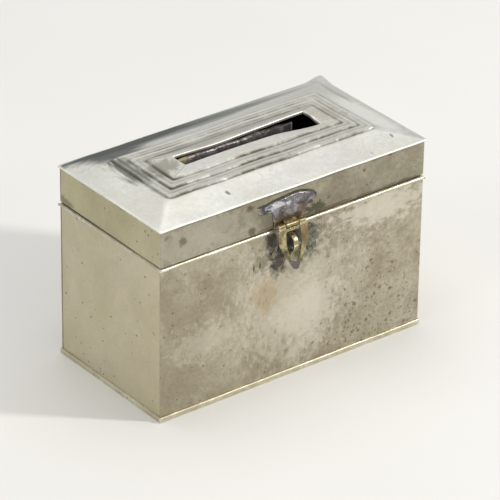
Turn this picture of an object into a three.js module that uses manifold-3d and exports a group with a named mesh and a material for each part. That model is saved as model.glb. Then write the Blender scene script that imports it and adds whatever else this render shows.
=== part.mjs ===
// A hand-made sheet-metal money box with a hipped, stepped lid, a back hinge and a small hasp.
// Millimetres, +Z up. X runs along the front, Y from the front to the back.
// The origin is the centre of the underside.
import * as THREE from "three";
import { mergeVertices } from "three/addons/utils/BufferGeometryUtils.js";
import Module from "manifold-3d";

const wasm = await Module();
wasm.setup();

// Driving dimensions: the body
const WIDTH = 150;
const DEPTH = 77;
const HALF_WIDTH = WIDTH / 2;
const HALF_DEPTH = DEPTH / 2;
const WALL_THICKNESS = 0.8;
const FLOOR_THICKNESS = 0.8;
const LIP_PROUD = 0.8;
const LIP_HEIGHT = 2.6;
const LIP_ROUNDING = 0.3;
const WALL_TOP = 78.6;
const RIM_RADIUS = 0.8;
const RIM_SEGMENTS = 6;
const COLLAR_GAP = 0.3;
const COLLAR_THICKNESS = 0.6;
const COLLAR_BOTTOM = 76.4;
const COLLAR_TOP = 83.5;
const SOLDER_LEG = 2.4;
const SOLDER_END_GAP = 0.5;

// Driving dimensions: the lid
const LID_BOTTOM = 79.5;
const SKIRT_TOP = 97;
const SKIRT_THICKNESS = 0.6;
const LID_SOLDER_BOTTOM = 84.5;
const TOP_THICKNESS = 0.7;
const TOP_OVERHANG = 0.9;
const HIP_RISE = 4.3;
const HIP_RUN = 17;
const FRAME_TREAD = 5.2;
const FRAME_RISER_RUN = 0.4;
const FRAME_RISE = 0.6;
const FRAME_COUNT = 3;
const SLOT_FACET_RISE = 0.6;
const SLOT = { left: -36, right: 39, front: -4.1, back: 5.4 };
const SLOT_LIP_ROUNDING = 0.4;
const SLOT_LIP_DEPTH = 1.3;
const GUARD = { left: -35.5, right: 31, front: 3.3, thickness: 2.6, depth: 5, gap: 0.3 };

// Driving dimensions: the hasp, its leaf, its pin and the staple
const HASP_X = -4.4;
const HASP_AXIS = { y: -HALF_DEPTH - 2.7, z: 80.2 };
const HASP_HANG_DEG = 8.5;
const HASP_HALF_WIDTH = 8.2;
const HASP_THICKNESS = 0.8;
const HASP_STRAIGHT = 8.5;
const HASP_BEND = 18;
const HASP_TIP = 21.8;
const HASP_TIP_HALF_WIDTH = 1.3;
const HASP_TIP_BEND_DEG = 4;
// The right half of the plate's hole, as [distance from the middle, distance below the barrel's axis]
const HASP_HOLE = [
  [4.1, 2.8],
  [4.3, 3.3],
  [4.3, 9],
  [3, 14.4],
  [2.1, 16.6],
  [1.2, 17.4],
];
const BARREL_HALF_LENGTH = 7.7;
const BARREL_RADIUS = 1.25;
const BARREL_BORE = 0.8;
const BARREL_PIN_RADIUS = 0.5;
const BARREL_PIN_OVERRUN = 0.2;
const MIDDLE_KNUCKLE_HALF = 3.7;
const KNUCKLE_GAP = 0.3;
const LEAF_THICKNESS = 0.7;
const HASP_LEAF = { halfWidth: 8, bottom: 80, top: 88.4 };
const STAPLE = { x: -3.7, width: 2.6, thickness: 1, proud: 6.2, z: 70.2, halfHeight: 5, tail: 3.2 };
const STAPLE_CLEARANCE = 0.3;

// Driving dimensions: the back hinge
const HINGE_AXIS = { y: HALF_DEPTH + 2.8, z: 79.1 };
const HINGE_HALF_LENGTH = 72;
const HINGE_KNUCKLES = 9;
const HINGE_RADIUS = 1.65;
const HINGE_BORE = 1.1;
const HINGE_PIN_RADIUS = 0.8;
const HINGE_PIN_OVERRUN = 0.8;
const HINGE_LID_LEAF = { bottom: 80.4, top: 89 };
const HINGE_BODY_LEAF = { bottom: 66, top: 76.6 };

const ROUND_SEGMENTS = 20;

const metal = (color, roughness) => new THREE.MeshStandardMaterial({ color, roughness, metalness: 1 });
const FINISH = {
  wall: () => metal(0xaea68e, 0.5),
  bright: () => metal(0xe0dbc4, 0.4),
  lid: () => metal(0xdcd9ce, 0.42),
  hidden: () => metal(0x8f8b7c, 0.6),
  brass: () => metal(0xb79a5a, 0.4),
  solder: () => metal(0x7b7b85, 0.45),
};

const model = new THREE.Group();

function addPiece(parent, name, geometry, material) {
  const mesh = new THREE.Mesh(geometry, material);
  mesh.name = name;
  parent.add(mesh);
  return mesh;
}

// Booleans

function solidOf(geometry) {
  const bare = geometry.index ? geometry.toNonIndexed() : geometry.clone();
  bare.deleteAttribute("normal");
  bare.deleteAttribute("uv");
  const merged = mergeVertices(bare, 1e-4);
  const vertProperties = new Float32Array(merged.attributes.position.array);
  const triVerts = new Uint32Array(merged.index.array);
  return new wasm.Manifold(new wasm.Mesh({ numProp: 3, vertProperties, triVerts }));
}

function geometryOf(solid) {
  const mesh = solid.getMesh();
  const geometry = new THREE.BufferGeometry();
  geometry.setAttribute("position", new THREE.BufferAttribute(mesh.vertProperties, 3));
  geometry.setIndex(new THREE.BufferAttribute(mesh.triVerts, 1));
  return geometry;
}

const join = (geometries) => geometryOf(geometries.map(solidOf).reduce((whole, next) => whole.add(next)));

const cut = (geometry, tools) =>
  geometryOf(tools.map(solidOf).reduce((whole, tool) => whole.subtract(tool), solidOf(geometry)));

// Shape makers

const rectangle = (x0, x1, y0, y1, z) => ({ x0, x1, y0, y1, z });

const centredRectangle = (halfX, halfY, z) => rectangle(-halfX, halfX, -halfY, halfY, z);

// A skin through rectangles stacked one after another. Looped, the last one joins the first;
// otherwise the first and the last are closed with flat faces.
function loft(rectangles, looped = false) {
  const corners = ({ x0, x1, y0, y1, z }) => [x0, y0, z, x1, y0, z, x1, y1, z, x0, y1, z];
  const positions = rectangles.flatMap(corners);
  const indices = [];
  const bands = looped ? rectangles.length : rectangles.length - 1;
  for (let band = 0; band < bands; band++) {
    const low = band * 4;
    const high = ((band + 1) % rectangles.length) * 4;
    for (let corner = 0; corner < 4; corner++) {
      const next = (corner + 1) % 4;
      indices.push(low + corner, low + next, high + next);
      indices.push(low + corner, high + next, high + corner);
    }
  }
  if (!looped) {
    const last = (rectangles.length - 1) * 4;
    indices.push(0, 2, 1, 0, 3, 2);
    indices.push(last, last + 1, last + 2, last, last + 2, last + 3);
  }
  const geometry = new THREE.BufferGeometry();
  geometry.setAttribute("position", new THREE.Float32BufferAttribute(positions, 3));
  geometry.setIndex(indices);
  return geometry;
}

const block = (x0, x1, y0, y1, z0, z1) =>
  loft([rectangle(x0, x1, y0, y1, z0), rectangle(x0, x1, y0, y1, z1)]);

const shapeOf = (points) => new THREE.Shape(points.map(([a, b]) => new THREE.Vector2(a, b)));

// An outline given as [y, z] points, drawn out along X from x0 to x1.
function prismAlongX(points, x0, x1) {
  const geometry = new THREE.ExtrudeGeometry(shapeOf(points), { depth: x1 - x0, bevelEnabled: false });
  const axes = [new THREE.Vector3(0, 1, 0), new THREE.Vector3(0, 0, 1), new THREE.Vector3(1, 0, 0)];
  return geometry.applyMatrix4(new THREE.Matrix4().makeBasis(...axes)).translate(x0, 0, 0);
}

// An outline given as a shape in X and Z, drawn out along Y from y0 to y1.
function plateAlongY(shape, y0, y1) {
  const geometry = new THREE.ExtrudeGeometry(shape, { depth: y1 - y0, bevelEnabled: false });
  const axes = [new THREE.Vector3(1, 0, 0), new THREE.Vector3(0, 0, 1), new THREE.Vector3(0, -1, 0)];
  return geometry.applyMatrix4(new THREE.Matrix4().makeBasis(...axes)).translate(0, y1, 0);
}

const arc = (y, z, radius, fromDeg, toDeg, segments) =>
  Array.from({ length: segments + 1 }, (_, step) => {
    const angle = THREE.MathUtils.degToRad(fromDeg + ((toDeg - fromDeg) * step) / segments);
    return [y + radius * Math.cos(angle), z + radius * Math.sin(angle)];
  });

const rod = (y, z, radius, x0, x1) =>
  prismAlongX(arc(y, z, radius, 0, 360, ROUND_SEGMENTS).slice(0, -1), x0, x1);

// A pin along X with slightly domed ends.
function pinAlongX(y, z, radius, x0, x1) {
  const dome = radius * 0.4;
  const profile = [
    new THREE.Vector2(0, x0),
    new THREE.Vector2(radius * 0.7, x0),
    new THREE.Vector2(radius, x0 + dome),
    new THREE.Vector2(radius, x1 - dome),
    new THREE.Vector2(radius * 0.7, x1),
    new THREE.Vector2(0, x1),
  ];
  return new THREE.LatheGeometry(profile, ROUND_SEGMENTS).rotateZ(-Math.PI / 2).translate(0, y, z);
}

// Body

function baseTray() {
  const outerX = HALF_WIDTH + LIP_PROUD;
  const outerY = HALF_DEPTH + LIP_PROUD;
  return loft([
    centredRectangle(outerX - LIP_ROUNDING, outerY - LIP_ROUNDING, 0),
    centredRectangle(outerX, outerY, LIP_ROUNDING),
    centredRectangle(outerX, outerY, LIP_HEIGHT - LIP_ROUNDING),
    centredRectangle(outerX - LIP_ROUNDING, outerY - LIP_ROUNDING, LIP_HEIGHT),
    centredRectangle(HALF_WIDTH, HALF_DEPTH, LIP_HEIGHT),
    centredRectangle(HALF_WIDTH, HALF_DEPTH, FLOOR_THICKNESS),
  ]);
}

// The half-round rim: each point of its section is [distance out from the wall, z], so that
// the strips of two neighbouring sides meet on the corner's mitre.
function rimStrip(side) {
  const section = arc(0, WALL_TOP - RIM_RADIUS, RIM_RADIUS, -90, 90, RIM_SEGMENTS);
  const alongX = side.axis === "x";
  const halfLength = alongX ? HALF_WIDTH : HALF_DEPTH;
  const halfSpan = alongX ? HALF_DEPTH : HALF_WIDTH;
  const place = (length, out, z) => (alongX ? [length, side.sign * out, z] : [side.sign * out, length, z]);
  const ends = [-1, 1].map((end) =>
    section.map(([out, z]) => place(end * (halfLength + out), halfSpan + out, z)),
  );
  const count = section.length;
  const indices = [];
  for (let point = 0; point < count; point++) {
    const next = (point + 1) % count;
    indices.push(point, next, count + next, point, count + next, count + point);
  }
  for (let point = 1; point < count - 1; point++) {
    indices.push(0, point + 1, point);
    indices.push(count, count + point, count + point + 1);
  }
  const mirrored = alongX === side.sign < 0;
  const faces = mirrored ? indices.reverse() : indices;
  const geometry = new THREE.BufferGeometry();
  geometry.setAttribute("position", new THREE.Float32BufferAttribute(ends.flat(2), 3));
  geometry.setIndex(faces);
  return geometry;
}

// Four upright sheets round a rectangle: front and back run full width, the sides fit between them.
function sheetRing(halfX, halfY, thickness, z0, z1, endGap = 0) {
  const innerX = halfX - thickness;
  const innerY = halfY - thickness;
  const sideEnd = innerY - endGap;
  return {
    front: block(-halfX, halfX, -halfY, -innerY, z0, z1),
    back: block(-halfX, halfX, innerY, halfY, z0, z1),
    left: block(-halfX, -innerX, -sideEnd, sideEnd, z0, z1),
    right: block(innerX, halfX, -sideEnd, sideEnd, z0, z1),
  };
}

// Triangular solder runs in the four upright inside corners.
function cornerSolder(halfX, halfY, z0, z1) {
  const runs = {};
  for (const [frontBack, signY] of [["front", -1], ["back", 1]]) {
    for (const [leftRight, signX] of [["left", -1], ["right", 1]]) {
      const corner = [signX * halfX, signY * halfY];
      const alongX = [signX * (halfX - SOLDER_LEG), signY * halfY];
      const alongY = [signX * halfX, signY * (halfY - SOLDER_LEG)];
      const outline = [corner, alongX, alongY];
      const geometry = new THREE.ExtrudeGeometry(shapeOf(outline), { depth: z1 - z0, bevelEnabled: false });
      runs[`${frontBack}_${leftRight}`] = geometry.translate(0, 0, z0);
    }
  }
  return runs;
}

const stapleLegs = [1, -1].map((side) => STAPLE.z + side * (STAPLE.halfHeight - STAPLE.thickness / 2));

// The front wall has a slit for each leg of the staple.
function frontWall(plain) {
  const halfSlitX = STAPLE.width / 2 + STAPLE_CLEARANCE;
  const halfSlitZ = STAPLE.thickness / 2 + STAPLE_CLEARANCE;
  const left = STAPLE.x - halfSlitX;
  const right = STAPLE.x + halfSlitX;
  const slits = stapleLegs.map((z) =>
    block(left, right, -HALF_DEPTH - 1, -HALF_DEPTH + 2, z - halfSlitZ, z + halfSlitZ),
  );
  return cut(plain, slits);
}

// A strip bent to a round-nosed loop, with its two legs through the wall and clenched inside.
function staple() {
  const outer = STAPLE.halfHeight;
  const inner = outer - STAPLE.thickness;
  const centreY = -HALF_DEPTH - (STAPLE.proud - outer);
  const wallInside = -HALF_DEPTH + WALL_THICKNESS + STAPLE_CLEARANCE;
  const tailInside = wallInside + STAPLE.thickness;
  const tailEnd = inner - STAPLE.tail;
  const halfRound = (radius, fromDeg, toDeg) => arc(centreY, STAPLE.z, radius, fromDeg, toDeg, 12);
  const outline = [
    [tailInside, STAPLE.z + outer],
    ...halfRound(outer, 90, 270),
    [tailInside, STAPLE.z - outer],
    [tailInside, STAPLE.z - tailEnd],
    [wallInside, STAPLE.z - tailEnd],
    [wallInside, STAPLE.z - inner],
    ...halfRound(inner, 270, 90),
    [wallInside, STAPLE.z + inner],
    [wallInside, STAPLE.z + tailEnd],
    [tailInside, STAPLE.z + tailEnd],
  ];
  return prismAlongX(outline, STAPLE.x - STAPLE.width / 2, STAPLE.x + STAPLE.width / 2);
}

// A low lump of solder on the wall, to the right of the staple.
function stapleSolder() {
  const outline = [
    [6.5, 61.4],
    [10, 59.4],
    [12.2, 62.5],
    [12.5, 69],
    [12.9, 72.5],
    [10.7, 75.4],
    [7, 76.2],
    [6.3, 71.5],
    [5, 66.7],
  ];
  return plateAlongY(shapeOf(outline), -HALF_DEPTH - 0.5, -HALF_DEPTH);
}

// Hinge leaves: a flat leaf, and for each knuckle a barrel and a web to the leaf, with the pin's bore cut.
function hingeLeaf({ axis, radius, bore, outside, leaf, knuckles, web }) {
  const [x0, x1, z0, z1] = leaf;
  const skin = outside * LEAF_THICKNESS;
  const plate = block(x0, x1, web.wallY + Math.min(0, skin), web.wallY + Math.max(0, skin), z0, z1);
  const pieces = [plate];
  for (const [from, to] of knuckles) {
    pieces.push(rod(axis.y, axis.z, radius, from, to));
    pieces.push(prismAlongX(web.outline, from, to));
  }
  const ends = knuckles.flat();
  const boreCutter = rod(axis.y, axis.z, bore, Math.min(...ends) - 1, Math.max(...ends) + 1);
  return cut(join(pieces), [boreCutter]);
}

// The back hinge's knuckles, by turns on the body leaf (even) and the lid leaf (odd).
function hingeKnuckles(oddOnes) {
  const pitch = (2 * HINGE_HALF_LENGTH) / HINGE_KNUCKLES;
  const all = Array.from({ length: HINGE_KNUCKLES }, (_, place) => {
    const start = -HINGE_HALF_LENGTH + place * pitch;
    return [start + KNUCKLE_GAP / 2, start + pitch - KNUCKLE_GAP / 2];
  });
  return all.filter((_, place) => (place % 2 === 1) === oddOnes);
}

function rearHingeLeaf(onLid) {
  const { y, z } = HINGE_AXIS;
  const wallY = HALF_DEPTH;
  const { bottom, top } = onLid ? HINGE_LID_LEAF : HINGE_BODY_LEAF;
  const up = onLid ? 1 : -1;
  const nearEdge = onLid ? bottom : top;
  const outline = [
    [wallY + 0.1, nearEdge],
    [wallY + 0.1, nearEdge + up * 1.5],
    [wallY + LEAF_THICKNESS, nearEdge + up * 1.5],
    [y + HINGE_RADIUS * 0.3, z + up * HINGE_RADIUS * 0.9],
    [y - HINGE_RADIUS * 0.6, z + up * 0.3],
    [wallY + RIM_RADIUS + 0.35, z + up * (onLid ? 0.3 : 0.6)],
    [wallY + RIM_RADIUS + 0.35, nearEdge],
  ];
  return hingeLeaf({
    axis: HINGE_AXIS,
    radius: HINGE_RADIUS,
    bore: HINGE_BORE,
    outside: 1,
    leaf: [-HINGE_HALF_LENGTH, HINGE_HALF_LENGTH, bottom, top],
    knuckles: hingeKnuckles(onLid),
    web: { wallY, outline: onLid ? outline.reverse() : outline },
  });
}

// Lid

// The top sheet: a hipped slope up to the first frame, three stepped frames, and facets up to the slot,
// whose lips turn down. The underside follows one sheet's thickness below.
function lidTop() {
  const edgeX = HALF_WIDTH + TOP_OVERHANG;
  const edgeY = HALF_DEPTH + TOP_OVERHANG;
  const outside = [
    centredRectangle(edgeX, edgeY, SKIRT_TOP),
    centredRectangle(edgeX, edgeY, SKIRT_TOP + TOP_THICKNESS),
  ];
  let halfX = edgeX - HIP_RUN;
  let halfY = edgeY - HIP_RUN;
  let z = SKIRT_TOP + TOP_THICKNESS + HIP_RISE;
  for (let frame = 0; frame < FRAME_COUNT; frame++) {
    outside.push(centredRectangle(halfX, halfY, z));
    halfX -= FRAME_RISER_RUN;
    halfY -= FRAME_RISER_RUN;
    z += FRAME_RISE;
    outside.push(centredRectangle(halfX, halfY, z));
    halfX -= FRAME_TREAD;
    halfY -= FRAME_TREAD;
  }
  const crest = z + SLOT_FACET_RISE;
  const lipBottom = crest - SLOT_LIP_DEPTH;
  const slotRectangle = (grow, height) =>
    rectangle(SLOT.left - grow, SLOT.right + grow, SLOT.front - grow, SLOT.back + grow, height);
  outside.push(slotRectangle(SLOT_LIP_ROUNDING, crest));
  outside.push(slotRectangle(0, crest - SLOT_LIP_ROUNDING));
  const inside = [
    slotRectangle(0, lipBottom),
    slotRectangle(TOP_THICKNESS, lipBottom),
    slotRectangle(TOP_THICKNESS, crest - TOP_THICKNESS - SLOT_LIP_ROUNDING),
    centredRectangle(halfX + FRAME_TREAD, halfY + FRAME_TREAD, z - TOP_THICKNESS - 0.2),
    centredRectangle(edgeX - HIP_RUN, edgeY - HIP_RUN, SKIRT_TOP + HIP_RISE - 0.1),
  ];
  return { geometry: loft([...outside, ...inside], true), lipBottom };
}

function haspLeaf() {
  const { y, z } = HASP_AXIS;
  const wallY = -HALF_DEPTH;
  const outline = [
    [wallY - 0.1, HASP_LEAF.bottom],
    [wallY - 0.1, HASP_LEAF.bottom + 2.4],
    [wallY - LEAF_THICKNESS, HASP_LEAF.bottom + 2.4],
    [y - BARREL_RADIUS * 0.2, z + BARREL_RADIUS * 0.9],
    [y + BARREL_RADIUS * 0.6, z],
    [wallY - LEAF_THICKNESS, HASP_LEAF.bottom],
  ];
  return hingeLeaf({
    axis: HASP_AXIS,
    radius: BARREL_RADIUS,
    bore: BARREL_BORE,
    outside: -1,
    leaf: [HASP_X - HASP_LEAF.halfWidth, HASP_X + HASP_LEAF.halfWidth, HASP_LEAF.bottom, HASP_LEAF.top],
    knuckles: [[HASP_X - MIDDLE_KNUCKLE_HALF, HASP_X + MIDDLE_KNUCKLE_HALF]],
    web: { wallY, outline },
  });
}

// The solder over the leaf: a patch on its face, and two flat wings above it on the skirt.
function haspLeafSolder() {
  const face = -HALF_DEPTH - LEAF_THICKNESS - 0.3;
  const patch = block(HASP_X - 8, HASP_X + 8.4, face - 0.6, face, HASP_LEAF.bottom + 3, HASP_LEAF.top + 1.2);
  const wingBottom = HASP_LEAF.top + 0.3;
  const outline = [
    [HASP_X - 15.5, wingBottom + 0.4],
    [HASP_X - 10, wingBottom],
    [HASP_X + 10, wingBottom],
    [HASP_X + 14.5, wingBottom + 0.2],
    [HASP_X + 14.5, wingBottom + 2],
    [HASP_X + 4, wingBottom + 5],
    [HASP_X - 7, wingBottom + 3.6],
    [HASP_X - 16, wingBottom + 2.6],
  ];
  return join([patch, plateAlongY(shapeOf(outline), face - 0.6, -HALF_DEPTH)]);
}

// Hasp, made hanging straight down with its barrel's axis at the origin

function haspPlateShape() {
  const shape = shapeOf([
    [-HASP_HALF_WIDTH, 0],
    [-HASP_HALF_WIDTH, -HASP_STRAIGHT],
    [-haspHalfWidthAt(HASP_BEND), -HASP_BEND],
    [haspHalfWidthAt(HASP_BEND), -HASP_BEND],
    [HASP_HALF_WIDTH, -HASP_STRAIGHT],
    [HASP_HALF_WIDTH, 0],
  ]);
  const right = HASP_HOLE.map(([x, down]) => new THREE.Vector2(x, -down));
  const left = HASP_HOLE.toReversed().map(([x, down]) => new THREE.Vector2(-x, -down));
  shape.holes.push(new THREE.Path([...right, ...left]));
  return shape;
}

function haspHalfWidthAt(down) {
  const share = (down - HASP_STRAIGHT) / (HASP_TIP - HASP_STRAIGHT);
  return THREE.MathUtils.lerp(HASP_HALF_WIDTH, HASP_TIP_HALF_WIDTH, share);
}

function haspTip() {
  const overlap = 0.3;
  const topWidth = haspHalfWidthAt(HASP_BEND);
  const length = HASP_TIP - HASP_BEND;
  const outline = shapeOf([
    [-topWidth, overlap],
    [-topWidth, 0],
    [-HASP_TIP_HALF_WIDTH, -length],
    [HASP_TIP_HALF_WIDTH, -length],
    [topWidth, 0],
    [topWidth, overlap],
  ]);
  return plateAlongY(outline, 0, HASP_THICKNESS)
    .rotateX(-THREE.MathUtils.degToRad(HASP_TIP_BEND_DEG))
    .translate(0, -BARREL_RADIUS, -HASP_BEND);
}

function hasp() {
  const plate = plateAlongY(haspPlateShape(), -BARREL_RADIUS, -BARREL_RADIUS + HASP_THICKNESS);
  const inner = MIDDLE_KNUCKLE_HALF + KNUCKLE_GAP;
  const knuckles = [
    rod(0, 0, BARREL_RADIUS, -BARREL_HALF_LENGTH, -inner),
    rod(0, 0, BARREL_RADIUS, inner, BARREL_HALF_LENGTH),
  ];
  const reach = BARREL_RADIUS + KNUCKLE_GAP;
  const notch = block(-inner, inner, -reach - 1, reach, -reach, reach);
  const bore = rod(0, 0, BARREL_BORE, -HASP_HALF_WIDTH - 1, HASP_HALF_WIDTH + 1);
  return cut(join([plate, haspTip(), ...knuckles]), [notch, bore]);
}

// Assembly

addPiece(model, "base_tray", baseTray(), FINISH.bright());

const walls = sheetRing(HALF_WIDTH, HALF_DEPTH, WALL_THICKNESS, FLOOR_THICKNESS, WALL_TOP);
walls.front = frontWall(walls.front);
for (const [side, geometry] of Object.entries(walls)) {
  addPiece(model, `${side}_wall`, geometry, FINISH.wall());
}

const RIM_SIDES = {
  front: { axis: "x", sign: -1 },
  back: { axis: "x", sign: 1 },
  left: { axis: "y", sign: -1 },
  right: { axis: "y", sign: 1 },
};
for (const [name, side] of Object.entries(RIM_SIDES)) {
  addPiece(model, `rim_${name}`, rimStrip(side), FINISH.bright());
}

const collarX = HALF_WIDTH - WALL_THICKNESS - COLLAR_GAP;
const collarY = HALF_DEPTH - WALL_THICKNESS - COLLAR_GAP;
const collars = sheetRing(collarX, collarY, COLLAR_THICKNESS, COLLAR_BOTTOM, COLLAR_TOP, COLLAR_GAP);
for (const [side, geometry] of Object.entries(collars)) {
  addPiece(model, `collar_${side}`, geometry, FINISH.hidden());
}

const bodySolder = cornerSolder(
  HALF_WIDTH - WALL_THICKNESS,
  HALF_DEPTH - WALL_THICKNESS,
  FLOOR_THICKNESS,
  COLLAR_BOTTOM - SOLDER_END_GAP,
);
for (const [corner, geometry] of Object.entries(bodySolder)) {
  addPiece(model, `corner_solder_${corner}`, geometry, FINISH.solder());
}

addPiece(model, "staple", staple(), FINISH.brass());
addPiece(model, "staple_solder", stapleSolder(), FINISH.solder());
addPiece(model, "rear_hinge_body_leaf", rearHingeLeaf(false), FINISH.wall());
const hingePinReach = HINGE_HALF_LENGTH + HINGE_PIN_OVERRUN;
const hingePin = pinAlongX(HINGE_AXIS.y, HINGE_AXIS.z, HINGE_PIN_RADIUS, -hingePinReach, hingePinReach);
addPiece(model, "rear_hinge_pin", hingePin, FINISH.brass());

const top = lidTop();
addPiece(model, "lid_top", top.geometry, FINISH.lid());
const skirts = sheetRing(HALF_WIDTH, HALF_DEPTH, SKIRT_THICKNESS, LID_BOTTOM, SKIRT_TOP);
for (const [side, geometry] of Object.entries(skirts)) {
  addPiece(model, `lid_skirt_${side}`, geometry, FINISH.wall());
}
const lidSolder = cornerSolder(
  HALF_WIDTH - SKIRT_THICKNESS,
  HALF_DEPTH - SKIRT_THICKNESS,
  LID_SOLDER_BOTTOM,
  SKIRT_TOP - SOLDER_END_GAP,
);
for (const [corner, geometry] of Object.entries(lidSolder)) {
  addPiece(model, `lid_solder_${corner}`, geometry, FINISH.solder());
}
const guardTop = top.lipBottom - GUARD.gap;
const slotGuard = block(
  GUARD.left,
  GUARD.right,
  GUARD.front,
  GUARD.front + GUARD.thickness,
  guardTop - GUARD.depth,
  guardTop,
);
addPiece(model, "slot_guard_strip", slotGuard, FINISH.solder());
addPiece(model, "rear_hinge_lid_leaf", rearHingeLeaf(true), FINISH.wall());
addPiece(model, "hasp_leaf", haspLeaf(), FINISH.brass());
addPiece(model, "hasp_leaf_solder", haspLeafSolder(), FINISH.solder());
const barrelReach = BARREL_HALF_LENGTH + BARREL_PIN_OVERRUN;
const haspPinEnds = [HASP_X - barrelReach, HASP_X + barrelReach];
const haspPin = pinAlongX(HASP_AXIS.y, HASP_AXIS.z, BARREL_PIN_RADIUS, ...haspPinEnds);
addPiece(model, "hasp_pin", haspPin, FINISH.brass());

const haspHang = new THREE.Group();
haspHang.position.set(HASP_X, HASP_AXIS.y, HASP_AXIS.z);
haspHang.rotation.x = -THREE.MathUtils.degToRad(HASP_HANG_DEG);
addPiece(haspHang, "hasp", hasp(), FINISH.brass());
model.add(haspHang);

export default model;
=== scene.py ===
"""A hand-made sheet-metal money box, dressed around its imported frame.

Lengths are millimetres while a shape is worked out, and metres once it is a mesh.
X runs along the front, Y from the front to the back, and Z up from the underside.
"""

import logging
import math
from collections.abc import Callable, Sequence
from dataclasses import dataclass, replace
from enum import Enum

import bpy
import numpy as np
from mathutils import Matrix, Vector, noise

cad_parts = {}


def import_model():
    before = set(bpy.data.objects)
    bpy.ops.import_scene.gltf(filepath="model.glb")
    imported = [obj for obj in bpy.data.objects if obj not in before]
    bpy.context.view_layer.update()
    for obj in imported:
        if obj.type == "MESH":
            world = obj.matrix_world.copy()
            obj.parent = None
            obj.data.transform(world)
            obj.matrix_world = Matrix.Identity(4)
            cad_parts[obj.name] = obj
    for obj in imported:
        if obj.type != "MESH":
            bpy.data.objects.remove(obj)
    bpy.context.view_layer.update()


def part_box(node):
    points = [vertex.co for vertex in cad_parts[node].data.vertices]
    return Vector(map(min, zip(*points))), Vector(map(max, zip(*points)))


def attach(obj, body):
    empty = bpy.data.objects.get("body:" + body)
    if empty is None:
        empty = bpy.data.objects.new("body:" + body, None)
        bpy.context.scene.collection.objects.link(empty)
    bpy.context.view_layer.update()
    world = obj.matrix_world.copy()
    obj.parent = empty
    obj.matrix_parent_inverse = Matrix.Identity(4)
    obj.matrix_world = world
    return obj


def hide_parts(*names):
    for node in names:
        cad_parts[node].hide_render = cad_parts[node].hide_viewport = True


LOG = logging.getLogger("money_box")
MM = 0.001
BODY = "box_body"
LID = "lid"
HASP = "hasp"
FRONT_FACE = 38.5  # how far forward the outer faces of the front wall and skirt are, in millimetres

Pair = tuple[float, float]
Triple = tuple[float, float, float]
Colour = Triple
Piece = bpy.types.Object
Socket = bpy.types.NodeSocket
Relief = Callable[[float, float], float]
EdgeShift = Callable[[float], float]


# ---- small sums


def smoothstep(low: float, high: float, value: float) -> float:
    """Rise smoothly from 0 to 1.

    Args:
        low: Where the rise starts.
        high: Where the rise ends.
        value: Where to read it.

    Returns:
        A number from 0 to 1.
    """
    share = min(max((value - low) / (high - low), 0.0), 1.0)
    return share * share * (3.0 - 2.0 * share)


def hump(centre: float, width: float, value: float) -> float:
    """A bell curve of height 1.

    Args:
        centre: Where the bell is highest.
        width: How far out it falls to about a third.
        value: Where to read it.

    Returns:
        A number from 0 to 1.
    """
    return math.exp(-(((value - centre) / width) ** 2))


def wave(length: float, *place: float) -> float:
    """Smooth random waves, the same on every run.

    Args:
        length: Rough length of a wave, in the units of place.
        place: Up to three coordinates.

    Returns:
        A number from about -1 to 1.
    """
    padded = (*place, 0.0, 0.0)[:3]
    return noise.noise(Vector(padded) / length) * 1.6


def arc(centre: Sequence[float], radius: float, start: float, end: float, steps: int) -> list[Pair]:
    """Points on a circle's arc.

    Args:
        centre: The circle's centre.
        radius: Its radius.
        start: First angle in degrees.
        end: Last angle in degrees.
        steps: How many steps to take.

    Returns:
        The points, both ends included.
    """
    angles = np.radians(np.linspace(start, end, steps + 1))
    return [(centre[0] + radius * math.cos(a), centre[1] + radius * math.sin(a)) for a in angles]


def node_box(node: str) -> tuple[np.ndarray, np.ndarray]:
    """A CAD node's box in millimetres.

    Args:
        node: The node's name.

    Returns:
        Its lowest and its highest corner.
    """
    low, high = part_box(node)
    return np.array(low) / MM, np.array(high) / MM


class Side(Enum):
    """The four upright sides, each with the direction along it and the direction out of it."""

    FRONT = ("front", (1, 0, 0), (0, -1, 0))
    BACK = ("back", (-1, 0, 0), (0, 1, 0))
    LEFT = ("left", (0, -1, 0), (-1, 0, 0))
    RIGHT = ("right", (0, 1, 0), (1, 0, 0))

    def __init__(self, word: str, along: tuple[int, int, int], out: tuple[int, int, int]) -> None:
        """Keep the side's word and its two directions."""
        self.word = word
        self.along = np.array(along, float)
        self.out = np.array(out, float)

    def place(self, along: float, out: float, up: float) -> np.ndarray:
        """Turn a place on this side into a point in the frame."""
        return self.along * along + self.out * out + np.array((0.0, 0.0, up))

    def spans(self, node: str) -> tuple[Pair, Pair, Pair]:
        """Read a node's box as this side sees it.

        Args:
            node: The CAD node.

        Returns:
            Its (low, high) along the side, out of it, and up.
        """
        low, high = node_box(node)
        alongs = sorted((low @ self.along, high @ self.along))
        outs = sorted((low @ self.out, high @ self.out))
        return (alongs[0], alongs[1]), (outs[0], outs[1]), (low[2], high[2])

    def seamed(self, along: Pair, seam: float) -> Pair:
        """Leave an open seam at both ends of a left or right sheet's span."""
        return (along[0] + seam, along[1] - seam) if self in (Side.LEFT, Side.RIGHT) else along


# ---- meshes


def mesh_piece(name: str, points: np.ndarray, faces: Sequence[Sequence[int]]) -> Piece:
    """Make a smooth-shaded mesh object.

    Args:
        name: The piece's name.
        points: Its points, in millimetres.
        faces: Its faces, as rows of point numbers.

    Returns:
        The new object.
    """
    mesh = bpy.data.meshes.new(name)
    mesh.from_pydata([tuple(p) for p in np.asarray(points, float) * MM], [], [tuple(f) for f in faces])
    mesh.validate()
    mesh.polygons.foreach_set("use_smooth", [True] * len(mesh.polygons))
    piece = bpy.data.objects.new(name, mesh)
    bpy.context.scene.collection.objects.link(piece)
    return piece


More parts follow.
